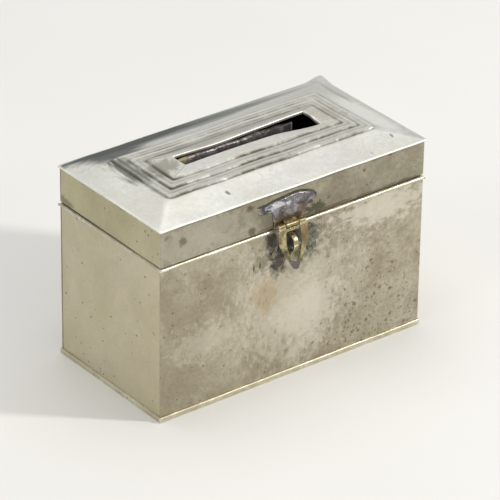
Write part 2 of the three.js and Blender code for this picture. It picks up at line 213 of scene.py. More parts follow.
def ring_faces(ring_count: int, ring_size: int, looped: bool) -> list[tuple[int, ...]]:
    """Faces through rings of points, each ring closed on itself.

    Args:
        ring_count: How many rings there are.
        ring_size: How many points are in each.
        looped: Whether the last ring joins the first; if not, both ends get a cap.

    Returns:
        The faces.
    """
    faces: list[tuple[int, ...]] = []
    for ring in range(ring_count if looped else ring_count - 1):
        here = ring * ring_size
        there = ((ring + 1) % ring_count) * ring_size
        for step in range(ring_size):
            turn = (step + 1) % ring_size
            faces.append((here + step, here + turn, there + turn, there + step))
    if not looped:
        last = (ring_count - 1) * ring_size
        faces.append(tuple(reversed(range(ring_size))))
        faces.append(tuple(range(last, last + ring_size)))
    return faces


def ring_piece(name: str, rings: Sequence[np.ndarray], looped: bool) -> Piece:
    """Make a piece from rings of points, one joined to the next.

    Args:
        name: The piece's name.
        rings: The rings, all with the same number of points.
        looped: Whether the last ring joins the first.

    Returns:
        The new object.
    """
    points = np.concatenate([np.asarray(ring, float) for ring in rings])
    return mesh_piece(name, points, ring_faces(len(rings), len(rings[0]), looped))


def joined(name: str, pieces: Sequence[Piece]) -> Piece:
    """Put several objects' meshes into one object.

    Args:
        name: The new piece's name.
        pieces: The objects, which are used up.

    Returns:
        The new object.
    """
    points: list[Triple] = []
    faces: list[tuple[int, ...]] = []
    for piece in pieces:
        start = len(points)
        points += [tuple(v.co / MM) for v in piece.data.vertices]
        faces += [tuple(start + i for i in polygon.vertices) for polygon in piece.data.polygons]
        bpy.data.objects.remove(piece)
    return mesh_piece(name, np.array(points), faces)


def soften(piece: Piece, width: float, sharper_than: float = 40.0) -> Piece:
    """Round a piece's sharp edges.

    Args:
        piece: The piece.
        width: Width of the rounding, in millimetres.
        sharper_than: Only edges that turn by more than this many degrees are rounded.

    Returns:
        The same piece.
    """
    bevel = piece.modifiers.new("rounded_edges", "BEVEL")
    bevel.width = width * MM
    bevel.segments = 2
    bevel.limit_method = "ANGLE"
    bevel.angle_limit = math.radians(sharper_than)
    bevel.harden_normals = False
    return piece


@dataclass
class SheetPanel:
    """An upright sheet on one side of the box, in a fine grid that can be bowed and dented.

    Attributes:
        name: The piece's name.
        side: The side it is on.
        along: Where it starts and ends along the side.
        out: Its inner and its outer face.
        up: Its lower and its upper edge.
        step: Size of a grid square.
        relief: How far the sheet stands out at (along, up).
        lower: How far the lower edge is shifted up at a place along.
        upper: How far the upper edge is shifted up at a place along.
    """

    name: str
    side: Side
    along: Pair
    out: Pair
    up: Pair
    step: float = 1.5
    relief: Relief = lambda along, up: 0.0
    lower: EdgeShift = lambda along: 0.0
    upper: EdgeShift = lambda along: 0.0

    def build(self) -> Piece:
        """Make the panel's mesh."""
        columns = max(2, round((self.along[1] - self.along[0]) / self.step))
        rows = max(2, round((self.up[1] - self.up[0]) / self.step))
        points = []
        for out in self.out:
            for row in range(rows + 1):
                height = self.up[0] + (self.up[1] - self.up[0]) * row / rows
                for column in range(columns + 1):
                    along = self.along[0] + (self.along[1] - self.along[0]) * column / columns
                    shift = self.lower(along) * (1 - row / rows) + self.upper(along) * row / rows
                    points.append(self.side.place(along, out + self.relief(along, height), height + shift))
        return mesh_piece(self.name, np.array(points), self._faces(columns, rows))

    @staticmethod
    def _faces(columns: int, rows: int) -> list[tuple[int, ...]]:
        """Faces of the outer sheet, the inner sheet and the four edges between them.

        Args:
            columns: How many squares there are along.
            rows: How many there are up.

        Returns:
            The faces.
        """
        wide = columns + 1
        layer = wide * (rows + 1)
        faces = []
        for row in range(rows):
            for column in range(columns):
                corner = row * wide + column
                square = (corner, corner + 1, corner + wide + 1, corner + wide)
                faces.append(tuple(reversed(square)))
                faces.append(tuple(layer + i for i in square))
        bottom = list(range(wide))
        right = [row * wide + columns for row in range(rows + 1)]
        top = [rows * wide + column for column in reversed(range(wide))]
        left = [row * wide for row in reversed(range(rows + 1))]
        loop = bottom + right[1:] + top[1:] + left[1:-1]
        for here, there in zip(loop, loop[1:] + loop[:1]):
            faces.append((here, there, layer + there, layer + here))
        return faces


def swept(
    name: str,
    path: Sequence[np.ndarray],
    across: Sequence[np.ndarray],
    outward: Sequence[np.ndarray],
    section: Sequence[Pair],
) -> Piece:
    """Draw a section along a path.

    Args:
        name: The piece's name.
        path: Points of the path.
        across: The section's first direction at each point.
        outward: Its second direction at each point.
        section: The section's outline, anticlockwise when looking back along the path.

    Returns:
        The new piece, with flat ends.
    """
    rings = []
    for place, first, second in zip(path, across, outward):
        rings.append(np.array([place + first * a + second * b for a, b in section]))
    return ring_piece(name, rings, looped=False)


def lump(
    name: str,
    side: Side,
    outline: Sequence[Pair],
    base: float,
    height: Relief,
    fineness: int = 120,
) -> Piece:
    """A low lump on an upright side, such as solder.

    Args:
        name: The piece's name.
        side: The side it lies on.
        outline: Its outline, as (along, up) points, anticlockwise seen from outside.
        base: How far out its back face is.
        height: How thick it is at (along, up), before it thins to its edge.
        fineness: How many points are round it.

    Returns:
        The new piece.
    """
    rim = rounded_outline(outline, fineness)
    centre = rim.mean(axis=0)
    rings = [centre + (rim - centre) * 0.6, rim]
    layers = [np.array([side.place(a, base, u) for a, u in ring]) for ring in rings]
    for share in (1.0, 0.985, 0.95, 0.89, 0.81, 0.72, 0.62, 0.51, 0.4, 0.29, 0.18, 0.08, 0.01):
        crown = math.sqrt(max(0.0, 1.0 - share**6)) * 0.94 + 0.06
        ring = centre + (rim - centre) * share
        layers.append(np.array([side.place(a, base + height(a, u) * crown, u) for a, u in ring]))
    return ring_piece(name, layers, looped=False)


def rounded_outline(corners: Sequence[Pair], count: int) -> np.ndarray:
    """A smooth closed curve near a few corners.

    Args:
        corners: The corners, in order.
        count: How many points to return.

    Returns:
        An array of points, evenly spread between the corners.
    """
    fixed = np.array(corners, float)
    size = len(fixed)
    points = []
    for place in np.arange(count) * size / count:
        index = int(place)
        share = place - index
        before, here, there, after = (fixed[(index + k) % size] for k in (-1, 0, 1, 2))
        bend = (
            2 * here
            + (there - before) * share
            + (2 * before - 5 * here + 4 * there - after) * share**2
            + (3 * here - before - 3 * there + after) * share**3
        )
        points.append(bend / 2)
    return np.array(points)


# ---- finishes


def tone(red: int, green: int, blue: int) -> Colour:
    """Turn a colour as seen on a screen (0 to 255) into the amounts of light a shader takes.

    Args:
        red: Red.
        green: Green.
        blue: Blue.

    Returns:
        The three amounts, from 0 to 1.
    """
    shares = (red / 255, green / 255, blue / 255)
    return tuple(s / 12.92 if s <= 0.04045 else ((s + 0.055) / 1.055) ** 2.4 for s in shares)


class Graph:
    """A node tree being wired."""

    def __init__(self, tree: bpy.types.NodeTree) -> None:
        """Keep the tree to add to."""
        self.tree = tree

    def add(self, kind: str, inputs: dict | None = None, **settings: object) -> bpy.types.Node:
        """Add a node.

        Args:
            kind: The node's type.
            inputs: A socket to link, or a value to set, for each input by name or number.
            **settings: The node's own settings.

        Returns:
            The new node.
        """
        node = self.tree.nodes.new(kind)
        for key, value in settings.items():
            setattr(node, key, value)
        for key, value in (inputs or {}).items():
            if isinstance(value, Socket):
                self.tree.links.new(value, node.inputs[key])
            elif isinstance(value, tuple) and len(value) == 3 and node.inputs[key].type == "RGBA":
                node.inputs[key].default_value = (*value, 1.0)
            else:
                node.inputs[key].default_value = value
        return node

    def maths(self, operation: str, first: object, second: object = 0.0) -> Socket:
        """Do a sum on numbers."""
        return self.add("ShaderNodeMath", {0: first, 1: second}, operation=operation).outputs[0]

    def vector(self, operation: str, first: object, second: object) -> Socket:
        """Do a sum on vectors."""
        return self.add("ShaderNodeVectorMath", {0: first, 1: second}, operation=operation).outputs[0]

    def ramp(
        self, value: object, low: float, high: float, start: float = 0.0, end: float = 1.0
    ) -> Socket:
        """Rise smoothly from start to end as value goes from low to high, and stay there outside."""
        inputs = {"Value": value, "From Min": low, "From Max": high, "To Min": start, "To Max": end}
        node = self.add("ShaderNodeMapRange", inputs, interpolation_type="SMOOTHSTEP")
        return node.outputs["Result"]

    def blend(self, share: object, first: object, second: object, kind: str = "MIX") -> Socket:
        """Blend two colours."""
        inputs = {0: share, 6: first, 7: second}
        return self.add("ShaderNodeMix", inputs, data_type="RGBA", blend_type=kind).outputs[2]

    def cloud(
        self, place: object, scale: object, detail: float = 3.0, rough: float = 0.5, warp: float = 0.0
    ) -> Socket:
        """Cloudy noise from 0 to 1."""
        inputs = {"Vector": place, "Scale": scale, "Detail": detail, "Roughness": rough, "Distortion": warp}
        return self.add("ShaderNodeTexNoise", inputs).outputs["Fac"]

    def shrunk(self, place: object, size: object) -> Socket:
        """Measure a place in steps of size."""
        inputs = {0: place, "Scale": self.maths("DIVIDE", 1.0, size)}
        return self.add("ShaderNodeVectorMath", inputs, operation="SCALE").outputs[0]

    def effect(self, group: bpy.types.NodeTree, **inputs: object) -> Socket:
        """Place a shared effect and return its first output."""
        return self.add("ShaderNodeGroup", inputs, node_tree=group).outputs[0]

    def largest(self, values: Sequence[object]) -> Socket:
        """The largest of some numbers."""
        whole = values[0]
        for value in values[1:]:
            whole = self.maths("MAXIMUM", whole, value)
        return whole


class Effects:
    """The effects that several finishes share, each a node group that is built once."""

    def __init__(self) -> None:
        """Build every group."""
        given: dict[str, str | float] = {"Place": "V", "Size": 10.0, "Contrast": 0.5}
        self.mottle = self._group("mottle", given, ("Mask",), self._mottle)
        given = {"Place": "V", "Spacing": 2.0, "Radius": 0.3, "Cover": 0.3}
        self.pits = self._group("pits", given, ("Mask",), self._pits)
        given = {"Place": "V", "Turn": "V", "Size": 8.0, "Amount": 0.5}
        self.scratches = self._group("scratches", given, ("Mask",), self._scratches)
        given = {"Place": "V", "Centre": "V", "Reach": "V", "Streak": "V", "Ragged": 0.4}
        self.stain = self._group("stain", given, ("Mask",), self._stain)
        self.rub = self._group("rubbed_edge", {"Amount": 1.0}, ("Mask", "Hollow"), self._rub)
        self.grain = self._group("metal_grain", {"Place": "V", "Size": 1.0}, ("Height",), self._grain)

    @staticmethod
    def _group(name: str, inputs: dict, outputs: Sequence[str], wire: Callable) -> bpy.types.NodeTree:
        """Make a group with named sockets and wire it.

        Args:
            name: The group's name.
            inputs: "V" for a vector, or the starting value of a number, for each input.
            outputs: The names of its outputs.
            wire: Wires the group from its input node and returns a socket for each output.

        Returns:
            The group.
        """
        tree = bpy.data.node_groups.new(name, "ShaderNodeTree")
        for label, start in inputs.items():
            kind = "NodeSocketVector" if start == "V" else "NodeSocketFloat"
            socket = tree.interface.new_socket(label, in_out="INPUT", socket_type=kind)
            if start != "V":
                socket.default_value = start
        for label in outputs:
            tree.interface.new_socket(label, in_out="OUTPUT", socket_type="NodeSocketFloat")
        graph = Graph(tree)
        source = graph.add("NodeGroupInput")
        made = wire(graph, source.outputs)
        graph.add("NodeGroupOutput", made)
        return tree

    @staticmethod
    def _mottle(graph: Graph, given: dict) -> dict:
        """Soft cloudy patches of about Size.

        Args:
            graph: The group's graph.
            given: Its inputs.

        Returns:
            Its outputs by name.
        """
        scale = graph.maths("DIVIDE", 1.0, given["Size"])
        cloud = graph.cloud(given["Place"], scale, 5.0, 0.58, 0.6)
        centred = graph.maths("SUBTRACT", cloud, 0.5)
        spread = graph.maths("MULTIPLY", given["Contrast"], 6.0)
        stretched = graph.maths("MULTIPLY", centred, spread)
        return {"Mask": graph.ramp(graph.maths("ADD", stretched, 0.5), 0.0, 1.0)}

    @staticmethod
    def _pits(graph: Graph, given: dict) -> dict:
        """Small ragged pits, where Cover says so.

        Args:
            graph: The group's graph.
            given: Its inputs.

        Returns:
            Its outputs by name.
        """
        scaled = graph.shrunk(given["Place"], given["Spacing"])
        inputs = {"Vector": scaled, "Scale": 2.7, "Detail": 2.0}
        shove = graph.add("ShaderNodeTexNoise", inputs).outputs["Color"]
        ragged = graph.vector("ADD", scaled, graph.vector("MULTIPLY", shove, (0.45, 0.45, 0.45)))
        cells = graph.add("ShaderNodeTexVoronoi", {"Vector": ragged, "Scale": 1.0, "Randomness": 1.0})
        chance = graph.add("ShaderNodeSeparateColor", {0: cells.outputs["Color"]}).outputs
        present = graph.maths("LESS_THAN", chance[0], given["Cover"])
        radius = graph.maths("MULTIPLY", given["Radius"], graph.maths("ADD", chance[1], 0.35))
        share = graph.maths("DIVIDE", cells.outputs["Distance"], radius)
        return {"Mask": graph.maths("MULTIPLY", present, graph.ramp(share, 0.4, 1.0, 1.0, 0.0))}

    @staticmethod
    def _scratches(graph: Graph, given: dict) -> dict:
        """Thin straight scratches, turned by Turn.

        Args:
            graph: The group's graph.
            given: Its inputs.

        Returns:
            Its outputs by name.
        """
        inputs = {"Vector": given["Place"], "Rotation": given["Turn"]}
        turned = graph.add("ShaderNodeVectorRotate", inputs, rotation_type="EULER_XYZ").outputs[0]
        scaled = graph.shrunk(turned, given["Size"])
        thinned = graph.vector("MULTIPLY", scaled, (0.6, 34.0, 34.0))
        lines = graph.cloud(thinned, 1.0, 1.0, 0.4)
        broken = graph.ramp(graph.cloud(scaled, 1.9, 2.0), 0.48, 0.66)
        thin = graph.ramp(lines, 0.68, 0.74)
        return {"Mask": graph.maths("MULTIPLY", graph.maths("MULTIPLY", thin, broken), given["Amount"])}

    @staticmethod
    def _stain(graph: Graph, given: dict) -> dict:
        """A patch round Centre that fades out at Reach, with a ragged edge.

        Args:
            graph: The group's graph.
            given: Its inputs.

        Returns:
            Its outputs by name.
        """
        away = graph.vector("SUBTRACT", given["Place"], given["Centre"])
        offset = graph.vector("DIVIDE", away, given["Reach"])
        length = graph.add("ShaderNodeVectorMath", {0: offset}, operation="LENGTH").outputs["Value"]
        drawn = graph.vector("MULTIPLY", given["Place"], given["Streak"])
        cloud = graph.maths("SUBTRACT", graph.cloud(drawn, 0.28, 5.0, 0.65, 0.4), 0.5)
        ragged = graph.maths("MULTIPLY", cloud, graph.maths("MULTIPLY", given["Ragged"], 5.0))
        return {"Mask": graph.ramp(graph.maths("ADD", length, ragged), 0.45, 1.0, 1.0, 0.0)}

    @staticmethod
    def _rub(graph: Graph, given: dict) -> dict:
        """Proud edges, where hands rub, and hollow ones, where grit stays.

        Args:
            graph: The group's graph.
            given: Its inputs.

        Returns:
            Its outputs by name.
        """
        point = graph.add("ShaderNodeNewGeometry").outputs["Pointiness"]
        proud = graph.ramp(point, 0.52, 0.6)
        hollow = graph.ramp(point, 0.485, 0.43)
        return {"Mask": graph.maths("MULTIPLY", proud, given["Amount"]), "Hollow": hollow}

    @staticmethod
    def _grain(graph: Graph, given: dict) -> dict:
        """The fine unevenness of rolled and hand-worked metal.

        Args:
            graph: The group's graph.
            given: Its inputs.

        Returns:
            Its outputs by name.
        """
        scale = graph.maths("DIVIDE", 1.0, given["Size"])
        fine = graph.cloud(given["Place"], scale, 4.0, 0.6)
        coarse = graph.cloud(given["Place"], graph.maths("MULTIPLY", scale, 0.16), 2.0, 0.5)
        return {"Height": graph.maths("ADD", graph.maths("MULTIPLY", fine, 0.35), coarse)}


@dataclass(frozen=True)
class Stain:
    """A patch of another colour.

    Attributes:
        centre: Its middle, in millimetres.
        reach: How far it goes in each direction.
        colour: Its colour.
        strength: How strongly it covers, from 0 to 1; more than 1 also hardens its edge.
        ragged: How uneven its edge is.
        streak: How fine its unevenness is in each direction; small numbers draw it out.
    """

    centre: Triple
    reach: Triple
    colour: Colour
    strength: float = 0.8
    ragged: float = 0.4
    streak: Triple = (1.0, 1.0, 1.0)

    def mask(self, graph: Graph, effects: Effects, place: Socket) -> Socket:
        """Wire the patch's mask into a finish.

        Args:
            graph: The finish's graph.
            effects: The shared effects.
            place: The place in millimetres.

        Returns:
            The mask, from 0 to 1.
        """
        shape = {"Centre": self.centre, "Reach": self.reach, "Ragged": self.ragged, "Streak": self.streak}
        patch = graph.effect(effects.stain, Place=place, **shape)
        strong = graph.maths("MULTIPLY", patch, self.strength)
        return graph.maths("MINIMUM", strong, 1.0) if self.strength > 1.0 else strong


@dataclass(frozen=True)
class MetalFinish:
    """A worked metal surface: tone, mottling, pits, scratches, stains, worn edges and grain, with painted
    shade and painted highlight where a piece carries masks for them.

    Attributes:
        name: The material's name.
        dark: Tone of its dark patches.
        light: Tone of its light patches.
        tint: Tone that tinges some patches.
        rubbed_and_highlight: Tone where it is worn bright, also used for painted highlight on the lid's
            edges and ridges.
        grime_and_shade_tone: Tone of the grit in its hollows, also used for painted shade in the lid's step
            corners, slot and underside.
        patch: Size of its patches, in millimetres.
        contrast: How hard its patches' edges are.
        tinge: How strong the tint is.
        pit_spacing: Distance between pits.
        pit_radius: Size of a pit, as a share of the spacing.
        pit_cover: Share of the places that hold a pit.
        pit_tone: Tone of the pits.
        pitted: Patches that hold more pits.
        scratch: How strongly scratches show.
        rough: Roughness of its smooth and of its dull patches.
        metallic: How metallic it is.
        rub: How far its edges are rubbed.
        grain: Size of the grain.
        relief: Strength of the grain's relief.
        speckle: How strongly the fine speckle shows.
        stains: Its stains, painted in order.
    """

    name: str
    dark: Colour
    light: Colour
    tint: Colour
    rubbed_and_highlight: Colour
    grime_and_shade_tone: Colour = tone(58, 52, 38)
    patch: float = 22.0
    contrast: float = 0.45
    tinge: float = 0.4
    pit_spacing: float = 2.2
    pit_radius: float = 0.3
    pit_cover: float = 0.12
    pit_tone: Colour = tone(92, 82, 62)
    pitted: tuple[Stain, ...] = ()
    scratch: float = 0.4
    rough: Pair = (0.38, 0.55)
    metallic: float = 0.9
    rub: float = 0.8
    grain: float = 0.7
    relief: float = 0.25
    speckle: float = 0.16
    stains: tuple[Stain, ...] = ()

    def make(self, effects: Effects) -> bpy.types.Material:
        """Build the material.

        Args:
            effects: The shared effects.

        Returns:
            The material.
        """
        material = bpy.data.materials.new(self.name)
        material.use_nodes = True
        material.node_tree.nodes.clear()
        graph = Graph(material.node_tree)
        found = graph.add("ShaderNodeTexCoord").outputs["Object"]
        place = graph.vector("MULTIPLY", found, (1 / MM,) * 3)
        patches = graph.effect(effects.mottle, Place=place, Size=self.patch, Contrast=self.contrast)
        shifted = graph.vector("ADD", place, (37.0, 91.0, 13.0))
        blotches = graph.effect(effects.mottle, Place=shifted, Size=self.patch * 0.22, Contrast=0.5)
        tinged = graph.effect(effects.mottle, Place=shifted, Size=self.patch * 1.7, Contrast=0.5)
        colour = graph.blend(patches, self.dark, self.light)
        colour = graph.blend(graph.maths("MULTIPLY", blotches, 0.35), colour, self.dark)
        speckle = graph.effect(effects.mottle, Place=shifted, Size=self.grain * 2.4, Contrast=0.6)
        colour = graph.blend(graph.maths("MULTIPLY", speckle, self.speckle), colour, self.pit_tone)
        colour = graph.blend(graph.maths("MULTIPLY", tinged, self.tinge), colour, self.tint)
        lines = graph.largest(
            [
                graph.effect(effects.scratches, Place=place, Turn=turn, Size=size, Amount=self.scratch)
                for turn, size in (((0.3, 0.5, 0.9), 9.0), ((1.1, -0.7, 0.4), 14.0))
            ]
        )
        colour = graph.blend(lines, colour, self.rubbed_and_highlight)
        cover = self.pit_cover
        for region in self.pitted:
            cover = graph.maths("ADD", region.mask(graph, effects, place), cover)
        pits = graph.largest(
            [
                graph.effect(effects.pits, Place=place, Spacing=spacing, Radius=self.pit_radius, Cover=cover)
                for spacing in (self.pit_spacing, self.pit_spacing * 2.3)
            ]
        )
        colour = graph.blend(graph.maths("MULTIPLY", pits, 0.75), colour, self.pit_tone)
        stained = None
        for stain in self.stains:
            mask = stain.mask(graph, effects, place)
            colour = graph.blend(mask, colour, stain.colour)
            stained = mask if stained is None else graph.maths("MAXIMUM", stained, mask)
        # The lid's own masks darken its step corners, slot and underside, partly as grit and partly as
        # painted shade, and brighten its edges and ridges, partly as wear and partly as painted highlight.
        grime_and_shade = graph.add("ShaderNodeAttribute", attribute_name="grime_and_shade").outputs["Fac"]
        rub = graph.add("ShaderNodeGroup", {"Amount": self.rub}, node_tree=effects.rub)
        dirt_and_shade = graph.largest([graph.maths("MULTIPLY", rub.outputs["Hollow"], 0.6), grime_and_shade])
        broken = graph.maths("MULTIPLY", dirt_and_shade, graph.ramp(blotches, -0.4, 0.8, 0.55, 1.0))
        colour = graph.blend(broken, colour, self.grime_and_shade_tone)
        polish_and_highlight = graph.add("ShaderNodeAttribute", attribute_name="polish_and_highlight").outputs["Fac"]
        bright = graph.largest([rub.outputs["Mask"], polish_and_highlight])
        # Brightens worn edges, and also the lid's edges and ridges, partly as painted highlight.
        worn = graph.maths("MULTIPLY", bright, graph.ramp(blotches, 0.0, 1.3, 1.0, 0.5))
        colour = graph.blend(worn, colour, self.rubbed_and_highlight)
        dull = graph.largest([broken, pits] + ([stained] if stained is not None else []))
        rough = graph.ramp(patches, 0.0, 1.0, self.rough[1], self.rough[0])
        rough = graph.maths("ADD", rough, graph.maths("MULTIPLY", dull, 0.22))
        metallic = graph.maths("SUBTRACT", self.metallic, graph.maths("MULTIPLY", dull, 0.5))
        height = graph.effect(effects.grain, Place=place, Size=self.grain)
        sunk = graph.maths("SUBTRACT", height, graph.maths("MULTIPLY", pits, 0.9))
        bump = graph.add("ShaderNodeBump", {"Strength": self.relief, "Distance": 0.0003, "Height": sunk})
        shader = graph.add(
            "ShaderNodeBsdfPrincipled",
            {"Base Color": colour, "Roughness": rough, "Metallic": metallic, "Normal": bump.outputs[0]},
        )
        graph.add("ShaderNodeOutputMaterial", {"Surface": shader.outputs[0]})
        return material


def set_mask(piece: Piece, name: str, values: Sequence[float]) -> None:
    """Store a mask on a mesh, one value for each point.

    Args:
        piece: The piece.
        name: The mask's name, "grime" (grit and painted shade) or "polish" (wear and painted highlight).
        values: The values, from 0 to 1.
    """
    mask = piece.data.attributes.new(name, "FLOAT", "POINT")
    mask.data.foreach_set("value", list(values))


# The olive and brown tones below serve as dirt and spots, and along the lid skirts' top and lower edges as
# painted shade.
OLIVE_DIRT_AND_SHADE = tone(88, 84, 52)
BROWN_SPOT_AND_SHADE = tone(96, 78, 48)
GREEN_BLACK = tone(58, 62, 38)
TAN_STAIN = tone(176, 146, 98)
# Dark brown of burnt flux; on the front wall it also serves as painted shadow of the hasp.
BURNT_FLUX_AND_SHADOW = tone(34, 25, 21)
TEAL_CRUST = tone(86, 92, 80)
OLIVE_BROWN = tone(98, 86, 60)
VERDIGRIS = tone(86, 108, 52)


class Finishes:
    """Every finish on the box, made once."""

    def __init__(self) -> None:
        """Make the materials."""
        self._effects = Effects()
        self._make_front()
        self._make_sides()
        self._make_back()
        self._make_edge()
        self._make_lid()
        self._make_dull()
        self._make_brass()
        self._make_solder()
        self._make_lead()
        self._make_crusts()

    def _make_front(self) -> None:
        """The tinned sheet of the front wall, and of the lid's front."""
        pale = tone(218, 211, 193)
        front = MetalFinish(
            name="tinned_front", dark=tone(160, 149, 127), light=tone(198, 190, 170),
            tint=tone(176, 168, 142), rubbed_and_highlight=tone(236, 230, 211), metallic=0.66, scratch=0.6,
            speckle=0.26,
            pitted=(
                Stain((48, -38, 18), (42, 6, 34), (0, 0, 0), 0.75, 0.3),
                Stain((10, -38, 14), (46, 6, 22), (0, 0, 0), 0.35, 0.3),
            ),
            stains=(
                Stain((0, -38, 40), (40, 6, 44), pale, 0.42, 0.5, (1.2, 1, 0.7)),
                Stain((8, -38, 32), (24, 6, 20), pale, 0.42, 0.5, (0.9, 1, 1.4)),
                Stain((50, -38, 71), (34, 6, 12), pale, 0.6, 0.5, (0.7, 1, 1.3)),
                Stain((-50, -38, 34), (22, 6, 12), pale, 0.3, 0.7),
                Stain((-17, -38, 47), (9, 4, 12), TAN_STAIN, 0.42, 0.5),
                Stain((4, -38, 64), (20, 3, 15), OLIVE_DIRT_AND_SHADE, 0.3, 0.7),
                Stain((-18, -38, 63), (8, 3, 7), OLIVE_DIRT_AND_SHADE, 0.5, 0.6),
                # The next four patches, behind and left of the hasp, are partly olive dirt and burnt flux
                # and partly painted shadow: the hasp's cast shadow on the wall and the shade inside its
                # hole.
                Stain((-4, -38, 72.5), (8.5, 3, 8.5), OLIVE_BROWN, 0.8, 0.2),
                Stain((-12.8, -38, 72.5), (5.6, 3, 8.5), BURNT_FLUX_AND_SHADOW, 0.85, 0.4),
                Stain((-9.6, -38, 61.5), (6.0, 3, 9.0), BURNT_FLUX_AND_SHADOW, 0.85, 0.4),
                Stain((-1, -38, 70.0), (6.0, 3, 9.5), BURNT_FLUX_AND_SHADOW, 0.9, 0.3),
                Stain((2.4, -38, 61), (5.4, 3, 5.4), tone(84, 88, 44), 0.9, 0.5),
                Stain((8, -38, 68), (8.5, 3, 11), TEAL_CRUST, 0.7, 0.5),
                Stain((-23.5, -38, 62), (0.6, 3, 3.2), BURNT_FLUX_AND_SHADOW, 0.9, 0.2),
                Stain((-19.8, -38, 62.6), (0.6, 3, 2.8), BURNT_FLUX_AND_SHADOW, 0.8, 0.2),
            ),
        )
        self.front = front.make(self._effects)
        self.skirt = replace(
            front,
            name="tinned_skirt", dark=tone(144, 136, 116), light=tone(176, 169, 149),
            tint=tone(160, 154, 130), pitted=(), pit_cover=0.05,
            stains=(
                Stain((-56, -38, 88), (40, 3, 13), tone(186, 181, 164), 0.45, 0.5),
                # Painted shade: a dark line along the skirt's top under the top sheet's overhang, and one
                # along its lower edge where it gapes over the rim.
                Stain((0, -38.5, 97.2), (120, 3, 1.6), OLIVE_DIRT_AND_SHADE, 0.75, 0.3, (0.3, 1, 1)),
                Stain((34, -38.5, 79.6), (70, 3, 1.6), BROWN_SPOT_AND_SHADE, 0.8, 0.5, (0.3, 1, 1)),
                Stain((-26, -38, 93.5), (3.6, 3, 2.0), BROWN_SPOT_AND_SHADE, 0.85, 0.5),
                Stain((-24.5, -38, 81.5), (2.6, 3, 3.4), BROWN_SPOT_AND_SHADE, 0.8, 0.4),
                Stain((-63, -38, 89), (3.0, 3, 3.4), BROWN_SPOT_AND_SHADE, 0.7, 0.4),
                Stain((12.0, -38, 82.5), (6.5, 3, 3.6), GREEN_BLACK, 0.85, 0.6),
                Stain((-8, -38, 88), (19, 3, 8), OLIVE_DIRT_AND_SHADE, 0.45, 0.6),
            ),
        ).make(self._effects)

    def _make_sides(self) -> None:
        """The tinned sheet of the side walls, and of the lid's sides, paler than the front as painted light
        for the brighter look of the sides.
        """
        side = MetalFinish(
            name="tinned_side", dark=tone(194, 184, 158), light=tone(212, 202, 178),
            tint=tone(200, 193, 158), rubbed_and_highlight=tone(236, 229, 207), patch=30.0, contrast=0.3,
            metallic=0.66, pit_cover=0.05, scratch=0.3, speckle=0.08,
        )
        self.side = side.make(self._effects)
        self.side_skirt = replace(
            side,
            name="tinned_side_skirt", dark=tone(176, 167, 134), light=tone(196, 187, 156),
            stains=(
                Stain((-75, 34, 81), (4, 6, 3), OLIVE_DIRT_AND_SHADE, 0.6, 0.5),
                # Painted shade along the side skirt's top, under the top sheet's overhang.
                Stain((-75, 0, 97.2), (4, 60, 1.5), OLIVE_DIRT_AND_SHADE, 0.6, 0.3),
            ),
        ).make(self._effects)

    def _make_back(self) -> None:
        """The duller tinned sheet of the back."""
        self.back = MetalFinish(
            name="tinned_back", dark=tone(132, 123, 103), light=tone(172, 163, 142),
            tint=tone(150, 142, 112), rubbed_and_highlight=tone(220, 213, 192), pit_cover=0.16,
            stains=(
                Stain((-30, 38, 74), (34, 5, 9), OLIVE_DIRT_AND_SHADE, 0.45, 0.6),
                Stain((44, 38, 70), (24, 5, 12), OLIVE_DIRT_AND_SHADE, 0.4, 0.6),
            ),
        ).make(self._effects)

    def _make_edge(self) -> None:
        """The bright metal of the rim strips and of the tray."""
        self.edge = MetalFinish(
            name="bright_edge", dark=tone(196, 188, 160), light=tone(238, 233, 212),
            tint=tone(214, 204, 170), rubbed_and_highlight=tone(248, 244, 228), patch=8.0, contrast=0.5,
            pit_cover=0.06, rough=(0.28, 0.42),
        ).make(self._effects)

